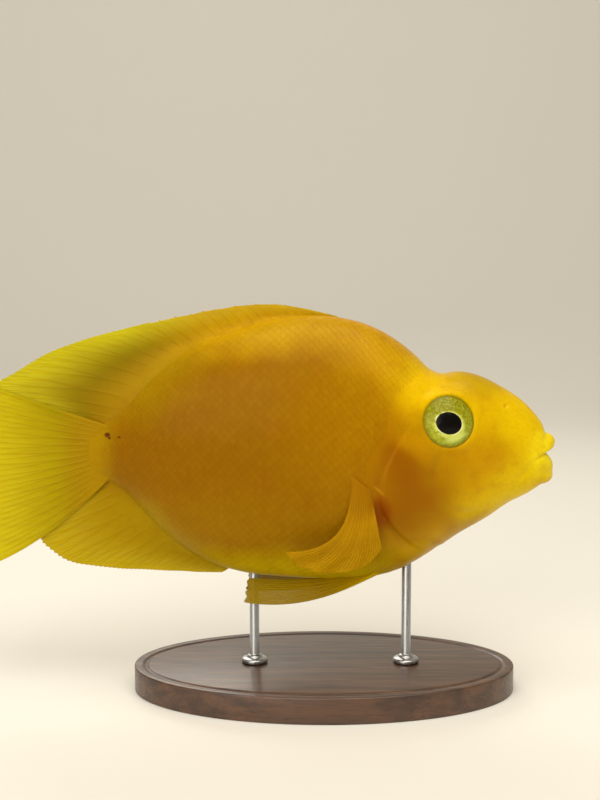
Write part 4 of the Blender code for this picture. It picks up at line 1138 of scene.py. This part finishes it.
# The floor is one pale matt-painted sheet. It runs out flat in front of the stand and curls up behind
# it in one wide bend, so that no edge shows behind the fish.
SHEET_FLAT, SHEET_CURL, SHEET_WALL = 2600.0, 600.0, 1200.0
SHEET_FRONT, SHEET_HALF_WIDTH = 1900.0, 2600.0
grid = {"x_subdivisions": 2, "y_subdivisions": 60, "size": 2.0}
floor = start_piece("floor", bpy.ops.mesh.primitive_grid_add, **grid)
points = read_points(floor) * MM
bend = SHEET_CURL * math.pi / 2
run = (points[:, 1] + 1.0) / 2.0 * (SHEET_FLAT + bend + SHEET_WALL)
curl = np.clip((run - SHEET_FLAT) / SHEET_CURL, 0.0, math.pi / 2)
y = np.minimum(run, SHEET_FLAT) + SHEET_CURL * np.sin(curl) - SHEET_FRONT
z = SHEET_CURL * (1.0 - np.cos(curl)) + np.maximum(run - SHEET_FLAT - bend, 0.0)
write_points(floor, np.stack([points[:, 0] * SHEET_HALF_WIDTH, y, z], axis=-1))
bpy.ops.object.shade_smooth()
matt_paint = {"Roughness": 0.7, "Base Color": light((233, 231, 224)), "Specular IOR Level": 0.2}
floor_paint, _, _ = new_material("floor_paint", matt_paint)
floor.data.materials.append(floor_paint)

# Soft warm studio light comes from wide panels above, in front and behind, and from all around.
LIGHTS = (
    # name, place in metres, size, power
    ("top", (0.10, -0.30, 0.85), 0.8, 7.0),
    ("front", (-0.90, -1.90, 0.84), 1.5, 22.5),
    ("back", (-0.20, 0.58, 0.48), 0.4, 1.5),
)
LIGHT_AIM, LIGHT_COLOUR = (0.01, 0.0, 0.08), (1.0, 0.95, 0.86)
ROOM_LIGHT, ROOM_STRENGTH = (255, 244, 224), 0.34
for name, spot, size, power in LIGHTS:
    bpy.ops.object.light_add(type="AREA", location=spot)
    lamp = bpy.context.object
    lamp.name = name
    lamp.data.size = size
    lamp.data.energy = power
    lamp.data.color = LIGHT_COLOUR
    lamp.visible_camera = False
    way = Vector(LIGHT_AIM) - Vector(spot)
    lamp.rotation_euler = way.to_track_quat("-Z", "Y").to_euler()
world = bpy.data.worlds.new("studio")
bpy.context.scene.world = world
world.use_nodes = True
room = world.node_tree.nodes["Background"].inputs
room["Color"].default_value = light(ROOM_LIGHT)
room["Strength"].default_value = ROOM_STRENGTH
bpy.context.scene.view_settings.view_transform = "Standard"

# The camera looks along +y from the fish's right side, a little above it.
AIM = (12.4, 0.0, 91.7)
CAMERA_DISTANCE = 400.0
CAMERA_TILT = math.radians(6.0)
PIXEL_SIZE = 0.3111
FRAME_HEIGHT = 800
SENSOR = 36.0
bpy.ops.object.camera_add()
camera = bpy.context.object
camera.data.sensor_width = SENSOR
camera.data.lens = SENSOR * CAMERA_DISTANCE / (PIXEL_SIZE * FRAME_HEIGHT)
camera.data.clip_start = 0.01
way = Vector((0.0, math.cos(CAMERA_TILT), -math.sin(CAMERA_TILT)))
camera.location = (Vector(AIM) - way * CAMERA_DISTANCE) * MM
camera.rotation_euler = way.to_track_quat("-Z", "Y").to_euler()
bpy.context.scene.camera = camera
